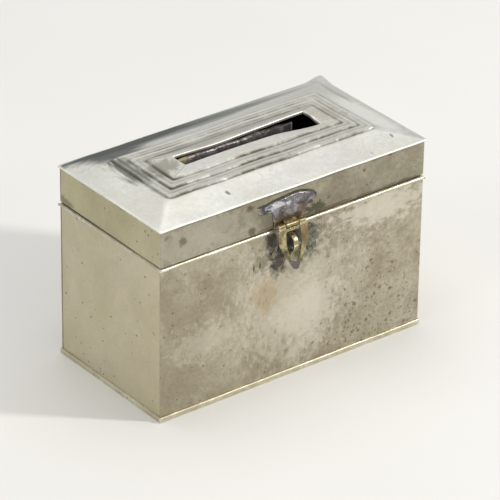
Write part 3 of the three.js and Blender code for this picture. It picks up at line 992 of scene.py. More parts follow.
    def _make_lid(self) -> None:
        """The pale sheet of the lid's top, tarnished in places; its back slope is darkened partly by tarnish
        and partly as painted reflection of darker surroundings.
        """
        self.lid = MetalFinish(
            name="worn_lid", dark=tone(214, 211, 200), light=tone(240, 238, 230),
            tint=tone(222, 218, 200), rubbed_and_highlight=tone(250, 248, 238), grime_and_shade_tone=tone(86, 84, 66),
            patch=26.0, contrast=0.3, tinge=0.35, pit_spacing=5.2, pit_radius=0.2, pit_cover=0.05,
            pit_tone=tone(118, 112, 96), rough=(0.36, 0.5), metallic=0.82, speckle=0.12,
            stains=(
                # Painted reflection: the dark grey bands below, on the back slope, at the back-left corner
                # and on the left slope beside the frames, are partly tarnish and partly the dark
                # surroundings mirrored in the slope.
                Stain((-14, 35, 99), (82, 8.5, 12), tone(116, 118, 113), 0.95, 0.2, (0.08, 1, 1)),
                Stain((-36, 36, 99), (52, 5.0, 9), tone(72, 74, 70), 0.85, 0.4, (0.08, 1, 1)),
                Stain((-52, 29, 99), (20, 10.5, 9), tone(78, 80, 76), 0.9, 0.25, (0.2, 0.7, 1)),
                Stain((-58, 12, 101), (6.5, 22, 9), tone(92, 92, 84), 0.85, 0.4, (0.8, 0.2, 1)),
                Stain((-46, 0, 104), (12, 9, 5), tone(140, 137, 122), 0.85, 0.35),
                Stain((48, 0, 104), (12, 9, 5), tone(160, 150, 137), 0.6, 0.5),
                Stain((0, 10, 104), (62, 5, 5), tone(142, 138, 126), 0.7, 0.4, (0.2, 1, 1)),
                Stain((66, -8, 98), (10, 34, 9), tone(228, 226, 218), 0.5, 0.2),
                Stain((70, 22, 98), (2.2, 16, 9), tone(128, 124, 112), 0.55, 0.4, (1, 0.2, 1)),
                Stain((10, -30, 99), (26, 6, 9), tone(188, 186, 184), 0.35, 0.7),
                Stain((-32, -30, 99), (1.2, 2.0, 3), tone(120, 116, 104), 0.9, 0.3),
                Stain((62, -30, 99), (1.1, 1.6, 3), tone(120, 116, 104), 0.8, 0.3),
            ),
        ).make(self._effects)

    def _make_dull(self) -> None:
        """The dull metal of the inside, and of the back hinge."""
        self.hidden = MetalFinish(
            name="dull_inside", dark=tone(104, 98, 82), light=tone(142, 135, 116),
            tint=tone(118, 108, 80), rubbed_and_highlight=tone(186, 178, 156), pit_cover=0.2, rough=(0.5, 0.7),
        ).make(self._effects)
        self.hinge = MetalFinish(
            name="dark_hinge", dark=tone(74, 68, 54), light=tone(126, 117, 96),
            tint=tone(96, 84, 56), rubbed_and_highlight=tone(196, 184, 152), patch=9.0, pit_cover=0.3,
            rough=(0.4, 0.62),
        ).make(self._effects)

    def _make_brass(self) -> None:
        """The old brass of the hasp and of the staple."""
        self.brass = MetalFinish(
            name="old_brass", dark=tone(98, 88, 60), light=tone(204, 190, 146),
            tint=tone(136, 118, 78), rubbed_and_highlight=tone(252, 243, 214), grime_and_shade_tone=tone(44, 36, 24), patch=5.0,
            contrast=0.6, tinge=0.6, pit_spacing=1.4, pit_cover=0.2, pit_tone=tone(70, 60, 30),
            rough=(0.24, 0.44), metallic=0.9, rub=1.0, grain=0.5,
            stains=(
                Stain((2, -43, 73), (3.6, 4, 7.0), tone(128, 100, 68), 0.7, 0.4),
                Stain((-1, -39, 82.4), (9, 1.6, 3.0), tone(84, 66, 42), 0.95, 0.5),
                # Painted shade: greys the hasp's tip below the staple's nose.
                Stain((-5, -45, 60.4), (6, 6, 4.0), tone(98, 88, 88), 0.9, 0.25),
                Stain((-3.7, -42, 65.4), (3.2, 6, 3.0), VERDIGRIS, 0.9, 0.5),
            ),
        ).make(self._effects)

    def _make_solder(self) -> None:
        """The lumpy solder."""
        self.solder = MetalFinish(
            name="lead_solder", dark=tone(76, 73, 75), light=tone(172, 169, 175),
            tint=tone(104, 94, 82), rubbed_and_highlight=tone(244, 243, 246), grime_and_shade_tone=tone(44, 40, 34), patch=5.5,
            contrast=0.6, tinge=0.6, pit_spacing=1.3, pit_cover=0.3, pit_tone=tone(70, 66, 64),
            rough=(0.26, 0.46), metallic=0.9, rub=1.0, grain=0.6, relief=0.9,
            stains=(
                # Painted highlight: a near-white streak along the solder's upper ridge.
                Stain((-9, -40, 90.6), (8, 3, 1.5), tone(228, 228, 232), 0.55, 0.8),
                Stain((4, -40, 84.5), (7, 3, 3.4), tone(112, 88, 62), 0.7, 0.5),
                Stain((-9, -40, 83.4), (5, 3, 2.4), tone(112, 92, 66), 0.6, 0.5),
            ),
        ).make(self._effects)

    def _make_lead(self) -> None:
        """The rough lead-grey metal of the slot's strip."""
        self.lead = MetalFinish(
            name="rough_lead", dark=tone(92, 84, 82), light=tone(196, 188, 190),
            tint=tone(108, 84, 66), rubbed_and_highlight=tone(236, 230, 232), grime_and_shade_tone=tone(50, 40, 34), patch=4.0,
            contrast=0.6, tinge=0.5, pit_spacing=1.2, pit_cover=0.35, pit_tone=tone(66, 52, 46),
            rough=(0.32, 0.55), metallic=0.7, relief=0.7, rub=0.3,
            stains=(
                Stain((-33, 4, 102), (6, 4, 4), tone(168, 156, 104), 0.8, 0.5),
                # Painted shade: darkens the strip's right end, where it runs into the dark of the slot.
                Stain((27, 4, 101), (20, 7, 9), tone(44, 34, 30), 1.8, 0.4),
            ),
        ).make(self._effects)

    def _make_crusts(self) -> None:
        """The burnt flux round the solder, and the crust at the staple."""
        self.flux = MetalFinish(
            name="burnt_flux", dark=tone(50, 46, 42), light=tone(84, 80, 74), tint=tone(62, 62, 44),
            rubbed_and_highlight=tone(120, 116, 108), patch=3.0, pit_cover=0.4, rough=(0.45, 0.7), metallic=0.3,
        ).make(self._effects)
        self.crust = MetalFinish(
            name="crusted_solder", dark=tone(70, 74, 66), light=tone(146, 150, 136),
            tint=tone(98, 92, 60), rubbed_and_highlight=tone(190, 190, 174), grime_and_shade_tone=tone(42, 42, 32), patch=2.6,
            contrast=0.7, tinge=0.7, pit_spacing=1.3, pit_cover=0.6, pit_tone=tone(56, 48, 36),
            rough=(0.5, 0.75), metallic=0.5, relief=0.8,
        ).make(self._effects)


# ---- putting pieces on the frame


def fit(
    piece: Piece, body: str, nodes: Sequence[str], finish: bpy.types.Material
) -> Piece:
    """Give a piece its finish and let it stand for its CAD nodes on their body.

    Args:
        piece: The finished piece, in place.
        body: The CAD body it moves with.
        nodes: The CAD nodes it stands for.
        finish: Its material.

    Returns:
        The same piece.
    """
    piece.data.materials.append(finish)
    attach(piece, body)
    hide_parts(*nodes)
    LOG.info("%s stands for %s on %s", piece.name, ", ".join(nodes), body)
    return piece


def line_inside(piece: Piece, side: Side, finish: bpy.types.Material) -> None:
    """Give the faces that look into the box a finish of their own.

    Args:
        piece: An upright sheet.
        side: The side it is on.
        finish: The inner finish.
    """
    piece.data.materials.append(finish)
    for face in piece.data.polygons:
        if np.dot(face.normal, side.out) < -0.6:
            face.material_index = 1


@dataclass(frozen=True)
class Dent:
    """A dent or a ridge in a sheet.

    Attributes:
        along: Its middle, along the side.
        up: Its middle, in height.
        length: How far it goes along its own direction.
        width: How far it goes across that.
        depth: How far it stands out; negative for a hollow.
        turn: Its direction's angle above the side's, in degrees.
    """

    along: float
    up: float
    length: float
    width: float
    depth: float
    turn: float = 0.0

    def relief(self, along: float, up: float) -> float:
        """How far the sheet stands out here because of this dent.

        Args:
            along: The place along the side.
            up: Its height.

        Returns:
            The distance; negative for a hollow.
        """
        angle = math.radians(self.turn)
        forward = (along - self.along) * math.cos(angle) + (up - self.up) * math.sin(angle)
        across = (up - self.up) * math.cos(angle) - (along - self.along) * math.sin(angle)
        return self.depth * hump(0.0, self.length, forward) * hump(0.0, self.width, across)


def sheet_relief(
    along: Pair, up: Pair, bow: float, ripple: float, dents: Sequence[Dent], seed: float
) -> Relief:
    """The unevenness of a hand-cut sheet that is held at its edges.

    Args:
        along: Where it starts and ends along its side.
        up: Its lower and upper edge.
        bow: How far its middle stands out.
        ripple: Size of its slow ripples.
        dents: Its dents.
        seed: Makes its ripples its own.

    Returns:
        A function of (along, up).
    """

    def relief(a: float, u: float) -> float:
        """How far the sheet stands out here."""
        across = min(a - along[0], along[1] - a)
        upright = min(u - up[0], up[1] - u)
        held = smoothstep(0.0, 12.0, across) * smoothstep(0.0, 7.0, upright)
        slow = ripple * (wave(31.0, a, u, seed) + 0.45 * wave(13.0, a, u, seed + 9.0))
        dented = smoothstep(0.0, 4.0, min(across, upright)) * sum(d.relief(a, u) for d in dents)
        return held * (bow + slow) + dented

    return relief


# ---- the box


@dataclass
class BoxShell:
    """The four upright walls of the box, with the half-round strips along their tops.

    Attributes:
        finishes: The finishes.
        seam: Width of the open seam at a side wall's ends.
        edge: Rounding of the cut edges.
        bow: How far each wall's middle stands out.
        ripple: Size of the walls' slow ripples.
        grid: Size of a wall's grid squares.
        rim_steps: How many places a rim strip is shaped at.
        dents: The dents and creases of the front wall.
    """

    finishes: Finishes
    seam: float = 0.14
    edge: float = 0.16
    bow: float = 0.3
    ripple: float = 0.16
    grid: float = 1.4
    rim_steps: int = 150
    dents: tuple[Dent, ...] = (
        Dent(39.0, 70.0, 6.0, 1.6, -0.54, 74.0),
        Dent(35.5, 67.0, 7.0, 1.5, 0.4, 66.0),
        Dent(-58.0, 58.0, 8.0, 1.8, 0.47, 58.0),
        Dent(-53.0, 61.0, 7.0, 2.2, -0.43, 52.0),
        Dent(-52.0, 7.0, 16.0, 1.5, 0.47, 4.0),
        Dent(-30.0, 10.0, 12.0, 2.4, -0.43, -8.0),
        Dent(12.0, 40.0, 14.0, 7.0, -0.54, 30.0),
        Dent(60.0, 24.0, 8.0, 3.0, 0.36, 80.0),
        Dent(-20.0, 62.0, 6.0, 1.2, -0.29, 48.0),
    )

    def build(self) -> None:
        """Make every wall and rim strip."""
        for seed, side in enumerate(Side):
            self._wall(side, float(seed))
            self._rim(side, float(seed))

    def _wall(self, side: Side, seed: float) -> None:
        """Make one wall.

        Args:
            side: Its side.
            seed: Makes its ripples and dents its own.
        """
        node = f"{side.word}_wall"
        along, out, up = side.spans(node)
        along = side.seamed(along, self.seam)
        dents = self.dents if side is Side.FRONT else tuple(self._scattered(along, up, seed))
        panel = SheetPanel(node + "_sheet", side, along, out, up, step=self.grid)
        panel.relief = sheet_relief(along, up, self.bow, self.ripple, dents, seed * 40.0)
        finishes = {Side.FRONT: self.finishes.front, Side.BACK: self.finishes.back}
        finish = finishes.get(side, self.finishes.side)
        wall = fit(soften(panel.build(), self.edge), BODY, [node], finish)
        line_inside(wall, side, self.finishes.hidden)

    @staticmethod
    def _scattered(along: Pair, up: Pair, seed: float) -> list[Dent]:
        """A few soft dents for a side that shows no clear ones.

        Args:
            along: Where the sheet starts and ends.
            up: Its lower and upper edge.
            seed: Makes them its own.

        Returns:
            The dents.
        """
        draw = np.random.default_rng(int(seed) + 5)
        dents = []
        for _ in range(7):
            middle = (draw.uniform(*along), draw.uniform(*up))
            size = (draw.uniform(5.0, 12.0), draw.uniform(1.6, 4.0))
            dents.append(Dent(*middle, *size, draw.uniform(-0.22, 0.16), draw.uniform(0.0, 180.0)))
        return dents

    def _rim(self, side: Side, seed: float) -> None:
        """Make one half-round strip, mitred at both ends.

        Args:
            side: Its side.
            seed: Makes its wear its own.
        """
        node = f"rim_{side.word}"
        along, out, up = side.spans(node)
        radius = (up[1] - up[0]) / 2
        half = along[1] - radius
        section = arc((out[0], up[0] + radius), radius, -90.0, 90.0, 10)
        rings = []
        for share in np.linspace(-1.0, 1.0, self.rim_steps):
            ring = []
            for reach, height in section:
                proud = reach - out[0]
                place = share * (half + proud)
                dull = 1.0 - 0.16 * max(0.0, wave(6.0, place, seed * 30.0, 3.0))
                sway = 0.07 * wave(17.0, place, seed * 30.0) * (1 - abs(share) ** 8)
                ring.append(side.place(place, out[0] - 0.05 + proud * dull, height + sway - 0.05))
            rings.append(np.array(ring))
        strip = ring_piece(node + "_strip", rings[::-1], looped=False)
        fit(strip, BODY, [node], self.finishes.edge)


@dataclass
class BaseTray:
    """The bottom sheet, with its edge turned up outside the walls.

    Attributes:
        finishes: The finishes.
        floor: Thickness of the floor.
        proud: Thickness of the turned-up edge.
        rounding: Rounding of its bends.
    """

    finishes: Finishes
    floor: float = 0.8
    proud: float = 0.8
    rounding: float = 0.35

    def build(self) -> None:
        """Make the tray."""
        _, high = node_box("base_tray")
        half, top = high[:2], high[2]
        corner = self.rounding
        profile = [
            (12.0, 0.06),
            (3.0, 0.05),
            (corner, 0.0),
            (corner * 0.3, corner * 0.3),
            (0.0, corner),
            (0.04, top * 0.5),
            (0.0, top - corner * 0.6),
            (0.12, top - 0.1),
            (0.3, top),
            (self.proud - 0.12, top - 0.03),
            (self.proud + 0.04, top - 0.3),
            (self.proud + 0.04, self.floor),
            (14.0, self.floor),
        ]
        rings = [self._ring(half, inset, height) for inset, height in profile]
        tray = ring_piece("base_tray_sheet", rings, looped=False)
        fit(soften(tray, 0.08, sharper_than=60.0), BODY, ["base_tray"], self.finishes.edge)
        tray.data.materials.append(self.finishes.hidden)
        for face in tray.data.polygons:
            if abs(face.normal[2]) > 0.9 and min(self._half_span(face)) > 2.0:
                face.material_index = 1

    @staticmethod
    def _half_span(face: bpy.types.MeshPolygon) -> Pair:
        """How far a face's middle is in from the tray's edges along X and Y, in millimetres."""
        _, high = node_box("base_tray")
        return high[0] - abs(face.center[0]) / MM, high[1] - abs(face.center[1]) / MM

    def _ring(self, half: np.ndarray, inset: float, height: float) -> np.ndarray:
        """One line round the tray, a little uneven near its edge.

        Args:
            half: Half the tray's width and depth.
            inset: How far in the line is.
            height: Its height.

        Returns:
            Its points.
        """
        ring = rectangle_ring(half[0] - inset, half[1] - inset, 180, 96, max(0.3, 0.5 - inset))
        points = []
        for x, y in ring:
            loose = smoothstep(4.0, 1.0, inset)
            sway = 0.1 * wave(14.0, x, y, 50.0) * loose
            shrink = 1.0 - max(0.0, sway) / 75.0
            lift = 0.12 * wave(19.0, x, y, 80.0) * (1.0 if height > 1.5 else 0.0)
            points.append((x * shrink, y * shrink, max(0.0, height + min(lift, 0.0))))
        return np.array(points)


def rectangle_ring(
    half_x: float, half_y: float, long_count: int, short_count: int, radius: float
) -> np.ndarray:
    """Points round a rounded rectangle, anticlockwise from its front left corner.

    Args:
        half_x: Half its width.
        half_y: Half its depth.
        long_count: How many points are on the front, and on the back.
        short_count: How many points are on each end.
        radius: Rounding of the corners.

    Returns:
        The points' X and Y.
    """
    corners = [(-half_x, -half_y), (half_x, -half_y), (half_x, half_y), (-half_x, half_y)]
    points = []
    for index, count in enumerate((long_count, short_count, long_count, short_count)):
        here, there = np.array(corners[index]), np.array(corners[(index + 1) % 4])
        for share in crowded(count):
            points.append(round_corner(here + (there - here) * share, half_x, half_y, radius))
    return np.array(points)


def crowded(count: int) -> np.ndarray:
    """Shares from 0 up to 1, closer together near both ends, without the last one."""
    share = np.arange(count) / count
    return 0.55 * share + 0.45 * (0.5 - 0.5 * np.cos(np.pi * share))


def round_corner(point: np.ndarray, half_x: float, half_y: float, radius: float) -> Pair:
    """Draw a point on a rectangle in to its rounded corner.

    Args:
        point: The point's X and Y.
        half_x: Half the rectangle's width.
        half_y: Half its depth.
        radius: Rounding of the corner.

    Returns:
        Its new X and Y.
    """
    x, y = point
    over_x = abs(x) - (half_x - radius)
    over_y = abs(y) - (half_y - radius)
    if over_x <= 0 or over_y <= 0:
        return x, y
    scale = radius / math.hypot(over_x, over_y)
    near = (half_x - radius + over_x * scale, half_y - radius + over_y * scale)
    return math.copysign(near[0], x), math.copysign(near[1], y)


@dataclass
class Collar:
    """The upright sheet inside the walls that the lid closes over.

    Attributes:
        finishes: The finishes.
        edge: Rounding of its edges.
        grid: Size of its grid squares.
        sway: How far its faces stray inward.
        sag: How far its upper edge strays down.
    """

    finishes: Finishes
    edge: float = 0.12
    grid: float = 1.4
    sway: float = 0.12
    sag: float = 0.35

    def build(self) -> None:
        """Make its four sides."""
        for seed, side in enumerate(Side):
            node = f"collar_{side.word}"
            along, out, up = side.spans(node)
            panel = SheetPanel(node + "_sheet", side, along, out, up, step=self.grid)
            panel.relief = lambda a, u, seed=seed: -self.sway * abs(wave(22.0, a, u * 0.5, seed * 17.0))
            panel.upper = lambda a, seed=seed: -self.sag * abs(wave(15.0, a, seed * 23.0))
            fit(soften(panel.build(), self.edge), BODY, [node], self.finishes.hidden)


@dataclass
class CornerSolder:
    """The runs of solder up the inside corners of the box or of the lid.

    Attributes:
        finishes: The finishes.
        prefix: How the CAD nodes' names start.
        body: The body they move with.
    """

    finishes: Finishes
    prefix: str
    body: str

    def build(self) -> None:
        """Make the four runs."""
        for front_back in ("front", "back"):
            for left_right in ("left", "right"):
                node = f"{self.prefix}_{front_back}_{left_right}"
                signs = (-1 if left_right == "left" else 1, -1 if front_back == "front" else 1)
                fit(self._run(node, signs), self.body, [node], self.finishes.solder)

    def _run(self, node: str, signs: tuple[int, int]) -> Piece:
        """Make one run: a hollow-faced fillet that swells and thins as it goes up.

        Args:
            node: The CAD node it stands for.
            signs: Its corner's signs in X and Y.

        Returns:
            The run.
        """
        low, high = node_box(node)
        corner = np.array([high[0] if signs[0] > 0 else low[0], high[1] if signs[1] > 0 else low[1]])
        leg = high[0] - low[0]
        steps = max(10, round((high[2] - low[2]) / 0.9))
        seed = signs[0] * 7.0 + signs[1] * 3.0
        rings = []
        for step in range(steps + 1):
            height = low[2] + (high[2] - low[2]) * step / steps
            swell = 0.72 + 0.26 * wave(5.0, height, seed) if 0 < step < steps else 0.3
            reach = leg * min(max(swell, 0.25), 1.0)
            ring = [corner]
            for share in np.linspace(0.0, 1.0, 7):
                hollow = 0.18 * math.sin(math.pi * share)
                along = reach * (1 - share) * (1 - hollow)
                across = reach * share * (1 - hollow)
                ring.append(corner - np.array([signs[0] * along, signs[1] * across]))
            turned = ring if signs[0] * signs[1] > 0 else ring[::-1]
            rings.append(np.array([(*point, height) for point in turned]))
        return ring_piece(node + "_run", rings, looped=False)


# ---- the lid


@dataclass
class LidTop:
    """The lid's top sheet: a hipped slope, three stepped frames, and facets up to the coin slot.

    Attributes:
        finishes: The finishes.
        thickness: Thickness of the sheet.
        hip_run: Width of the slope, seen from above.
        hip_rise: How far the slope climbs.
        rise: Height of the step up to a frame.
        pitch: From one frame's step to the next.
        frame_count: How many frames there are.
        slot: The slot's left and right end.
        lip_depth: How far the slot's edge turns down.
        long_count: How many points are on the front of a ring.
        short_count: How many points are on the end of a ring.
    """

    finishes: Finishes
    thickness: float = 0.7
    hip_run: float = 17.0
    hip_rise: float = 4.3
    rise: float = 0.6
    pitch: float = 5.6
    frame_count: int = 3
    slot: Pair = (-36.0, 39.0)
    lip_depth: float = 1.3
    long_count: int = 150
    short_count: int = 64

    def build(self) -> None:
        """Make the top sheet."""
        low, high = node_box("lid_top")
        self.half = (high[0], high[1])
        self.base = low[2] + self.thickness
        self.crest = high[2]
        self.steps = [self.hip_run + k * self.pitch for k in range(self.frame_count)]
        self.facet_start = self.steps[-1] + 0.9
        rings, grime_and_shade, polish_and_highlight = [], [], []
        for points, dirt_and_shade, shine in self._outside():
            rings.append(points)
            grime_and_shade += dirt_and_shade
            polish_and_highlight += shine
        # The underside is darkened throughout as painted shade.
        for points in self._inside():
            rings.append(points)
            grime_and_shade += [0.3] * len(points)
            polish_and_highlight += [0.0] * len(points)
        piece = ring_piece("lid_top_sheet", rings, looped=True)
        set_mask(piece, "grime_and_shade", grime_and_shade)
        set_mask(piece, "polish_and_highlight", polish_and_highlight)
        fit(piece, LID, ["lid_top"], self.finishes.lid)

    def _insets(self) -> list[float]:
        """How far in each ring is, close together at the steps."""
        insets = [0.2, 0.6, 1.3] + list(np.arange(2.2, self.hip_run - 1.2, 0.9))
        for step in self.steps:
            insets += list(np.arange(step - 0.9, step + 2.0, 0.14))
            if step is not self.steps[-1]:
                insets += list(np.arange(step + 2.3, step + self.pitch - 1.0, 0.5))
        return [inset for inset in insets if inset <= self.facet_start]

    def _height(self, inset: float) -> float:
        """The sheet's height at an inset, before its unevenness.

        Args:
            inset: How far in from the edge.

        Returns:
            The height.
        """
        share = min(inset / self.hip_run, 1.0)
        height = self.base + self.hip_rise * share - 0.22 * math.sin(math.pi * share)
        for step in self.steps:
            height += self.rise * smoothstep(step - 0.2, step + 0.95, inset)
            height += 0.06 * hump(step + 1.25, 0.5, inset) - 0.34 * hump(step - 0.1, 0.34, inset)
        return height

    def _uneven(self, x: float, y: float, height: float) -> Triple:
        """Move a point as hand work would have left it.

        Args:
            x: Its X.
            y: Its Y.
            height: Its Z.

        Returns:
            The moved point.
        """
        inset = min(self.half[0] - abs(x), self.half[1] - abs(y))
        free = smoothstep(0.5, 14.0, inset)
        sway_x = 0.42 * free * wave(19.0, x, y, 1.0)
        sway_y = 0.42 * free * wave(19.0, x, y, 71.0)
        slow = 0.16 * smoothstep(0.0, 6.0, inset) * wave(24.0, x, y, 31.0)
        corner = math.hypot(x - self.half[0], y - self.half[1])
        bent_up = 1.5 * smoothstep(11.0, 1.0, corner)
        edge = 0.12 * wave(21.0, x, y, 12.0) * (1.0 - free)
        return x + sway_x, y + sway_y, min(height + slow + bent_up + edge, self.crest)

    def _ring(self, inset: float, height: float) -> np.ndarray:
        """The ring at an inset.

        Args:
            inset: How far in from the edge.
            height: Its height, before its unevenness.

        Returns:
            Its points.
        """
        radius = 0.7 + 0.16 * min(inset, self.hip_run) if inset < self.hip_run else 1.1
        half = (self.half[0] - inset, self.half[1] - inset)
        plan = rectangle_ring(*half, self.long_count, self.short_count, radius)
        return np.array([self._uneven(x, y, height) for x, y in plan])

    def _slot_edge(self, grow: float) -> np.ndarray:
        """The slot's edge, drawn out by grow, as X and Y in step with the rings.

        Args:
            grow: How far out the edge is drawn.

        Returns:
            Its points.
        """
        left, right = self.slot
        points = []
        for share in crowded(self.long_count):
            x = left - grow + (right - left + 2 * grow) * share
            points.append((x, self._slot_front(x) - grow))
        for share in crowded(self.short_count):
            low, high = self._slot_front(right) - grow, self._slot_back(right) + grow
            points.append((right + grow + 0.35 * math.sin(math.pi * share), low + (high - low) * share))
        for share in crowded(self.long_count):
            x = right + grow - (right - left + 2 * grow) * share
            points.append((x, self._slot_back(x) + grow))
        for share in crowded(self.short_count):
            low, high = self._slot_back(left) + grow, self._slot_front(left) - grow
            points.append((left - grow - 0.2 * math.sin(math.pi * share), low + (high - low) * share))
        return np.array(points)

    @staticmethod
    def _slot_front(x: float) -> float:
        """Where the slot's front edge is."""
        return -4.1 + 0.4 * hump(-12.0, 15.0, x) - 2.6 * smoothstep(10.0, 38.0, x)

    @staticmethod
    def _slot_back(x: float) -> float:
        """Where the slot's back edge is."""
        return 5.6 - 1.3 * hump(-12.0, 18.0, x) + 0.9 * smoothstep(15.0, 35.0, x)

    def _slot_crest(self, x: float, y: float) -> float:
        """How high the slot's edge is."""
        sunk = 0.9 * smoothstep(10.0, 38.0, x) * smoothstep(3.0, -3.0, y)
        return self.crest - sunk - 0.1 * max(0.0, 1 + wave(17.0, x, y, 90.0))

    def _outside(self) -> list[tuple[np.ndarray, list[float], list[float]]]:
        """The rings of the upper face, each with its mask of grit and painted shade, and its mask of wear
        and painted highlight.
        """
        rows = []
        size = 2 * (self.long_count + self.short_count)
        low = self.base - self.thickness
        # The rounded outer edge gets painted highlight, brightest along its top.
        rim = (
            (0.1, low, 0.2),
            (0.0, low + 0.12, 0.5),
            (0.0, self.base - 0.16, 0.8),
            (0.08, self.base - 0.03, 1.0),
        )
        for inset, height, shine in rim:
            rows.append((self._ring(inset, height), [0.0] * size, [shine] * size))
        for inset in self._insets():
            ring = self._ring(inset, self._height(inset))
            framed = smoothstep(self.steps[0] - 0.6, self.steps[0] + 1.0, inset)
            # Dark lines at each step's foot and just behind it, and a light darkening inside the frames:
            # partly grit and partly painted shade in the corners.
            dirt_and_shade = 0.2 * framed + sum(hump(step - 0.05, 0.8, inset) for step in self.steps)
            dirt_and_shade += sum(0.5 * hump(step + 3.0, 0.4, inset) for step in self.steps)
            # Bright lines on each ridge and along the outer edge: partly wear, partly painted highlight.
            shine = sum(0.2 * hump(step + 1.4, 0.5, inset) for step in self.steps) + hump(0.2, 0.4, inset)
            rows.append((ring, self._varied(ring, dirt_and_shade, 16.0), self._varied(ring, shine, 24.0)))
        start = self._ring(self.facet_start, self._height(self.facet_start))
        edge = self._slot_edge(0.4)
        crest = np.array([self._slot_crest(x, y) for x, y in edge])
        # The facets' mitred corners are darkened, partly as grit and partly as painted shade.
        corners = np.zeros(size)
        for corner in (0, self.long_count, self.long_count + self.short_count, size - self.short_count):
            for shift, amount in ((0, 0.85), (-1, 0.45), (1, 0.45)):
                corners[(corner + shift) % size] = amount
        for share in (0.12, 0.25, 0.38, 0.5, 0.62, 0.74, 0.85, 0.93, 1.0):
            plan = start[:, :2] * (1 - share) + edge * share
            height = start[:, 2] * (1 - share) + crest * share
            ring = np.column_stack([plan, height])
            # Painted highlight close to the slot's edge.
            shine = [0.3 * smoothstep(0.9, 1.0, share)] * size
            rows.append((ring, list(corners * (0.7 if share < 0.95 else 0.0)), shine))
        # The slot's turned-down lip is darkened as painted shade inside the slot, and its edge gets painted
        # highlight.
        lip = (
            (0.22, 0.05, 0.3),
            (0.06, 0.22, 0.2),
            (0.0, 0.5, 0.0),
            (0.0, 1.1, 0.0),
            (0.0, self.lip_depth, 0.0),
        )
        for grow, drop, shine in lip:
            ring = np.column_stack([self._slot_edge(grow), crest - drop])
            rows.append((ring, [0.6 if drop > 0.4 else 0.0] * size, [shine] * size))
        return rows

    @staticmethod
    def _varied(ring: np.ndarray, amount: float, length: float) -> list[float]:
        """Vary an amount along a ring."""
        return [amount * min(1.0, max(0.3, 0.8 + 0.4 * wave(length, *point))) for point in ring]

    def _inside(self) -> list[np.ndarray]:
        """The rings of the lower face, from the slot out to the edge."""
        edge = self._slot_edge(self.thickness)
        crest = np.array([self._slot_crest(x, y) for x, y in edge])
        rings = [np.column_stack([edge, crest - self.lip_depth])]
        rings.append(np.column_stack([edge, crest - self.thickness - 0.3]))
        first, second, third = self.steps
        under_frames = [self.facet_start, third - 0.3, third - 3, second + 0.9, second - 0.3]
        for inset in under_frames + [first + 3.0, first + 0.9, first - 0.3]:
            rings.append(self._ring(inset, self._height(inset) - self.thickness))
        for inset in (13.0, 9.0, 5.0, 2.5, 1.2):
            rings.append(self._ring(inset, self._height(inset) - self.thickness - 0.02))
        return rings


@dataclass
class LidSkirt:
    """The four upright sheets of the lid.

    Attributes:
        finishes: The finishes.
        seam: Width of the open seam at a side sheet's ends.
        edge: Rounding of the cut edges.
        bow: How far each sheet's middle stands out.
        ripple: Size of its slow ripples.
        grid: Size of its grid squares.
    """

    finishes: Finishes
    seam: float = 0.12
    edge: float = 0.13
    bow: float = 0.04
    ripple: float = 0.11
    grid: float = 1.1

    def build(self) -> None:
        """Make the four sheets."""
        finishes = {Side.FRONT: self.finishes.skirt, Side.BACK: self.finishes.back}
        for seed, side in enumerate(Side):
            node = f"lid_skirt_{side.word}"
            along, out, up = side.spans(node)
            along = side.seamed(along, self.seam)
            panel = SheetPanel(node + "_sheet", side, along, out, up, step=self.grid)
            dents = (Dent(20.0, 88.0, 6.0, 1.6, 0.18, 20.0), Dent(-50.0, 90.0, 9.0, 1.8, -0.16, -12.0))
            panel.relief = sheet_relief(along, up, self.bow, self.ripple, dents, 300.0 + seed * 40.0)
            panel.lower = self._lower(side)
            finish = finishes.get(side, self.finishes.side_skirt)
            skirt = fit(soften(panel.build(), self.edge), LID, [node], finish)
            line_inside(skirt, side, self.finishes.hidden)

    @staticmethod
    def _lower(side: Side) -> EdgeShift:
        """How a skirt's lower edge strays from straight, closest to the box at the front left corner.

        Args:
            side: The skirt's side.

        Returns:
            A function of the place along.
        """
        if side is Side.FRONT:
            return lambda a: -0.42 + 0.5 * smoothstep(-10.0, 60.0, a) + 0.07 * wave(16.0, a, 5.0)
        if side is Side.LEFT:
            return lambda a: -0.42 + 0.42 * smoothstep(30.0, -20.0, a) + 0.07 * wave(16.0, a, 8.0)
        return lambda a: -0.1 + 0.1 * wave(18.0, a, side.out[1] * 9.0)


@dataclass
class SlotGuard:
    """The rough strip below the slot's back edge.

    Attributes:
        finishes: The finishes.
        steps: How many places it is shaped at.
    """

    finishes: Finishes
    steps: int = 110

    def build(self) -> None:
        """Make the strip."""
        low, high = node_box("slot_guard_strip")
        rings = []
        for share in np.linspace(0.0, 1.0, self.steps):
            x = low[0] + (high[0] - low[0]) * share
            blunt = min(1.0, 0.55 + 6.0 * share) * min(1.0, 0.5 + 5.0 * (1 - share))
            half_width = (high[1] - low[1]) / 2 * blunt * (0.93 + 0.07 * wave(4.0, x, 4.0))
            middle = (high[1] + low[1]) / 2
            top = high[2] - 0.35 * (1 + wave(7.0, x, 9.0)) - 0.5 * smoothstep(0.85, 1.0, share)
            section = []
            for angle in np.radians(np.linspace(0.0, 180.0, 9)):
                bulge = 1.0 + 0.1 * wave(1.6, x, math.cos(angle) * 3, math.sin(angle) * 3)
                reach = half_width * math.cos(angle) * bulge
                section.append((middle + reach, top - 0.5 + 0.5 * math.sin(angle)))
            section += [(middle - half_width, low[2] + 0.3), (middle - half_width * 0.6, low[2])]
            section += [(middle + half_width * 0.6, low[2]), (middle + half_width, low[2] + 0.3)]
            rings.append(np.array([(x, y, z) for y, z in section]))
        bar = ring_piece("slot_guard_bar", rings, looped=False)
        fit(bar, LID, ["slot_guard_strip"], self.finishes.lead)


# ---- hasp and staple


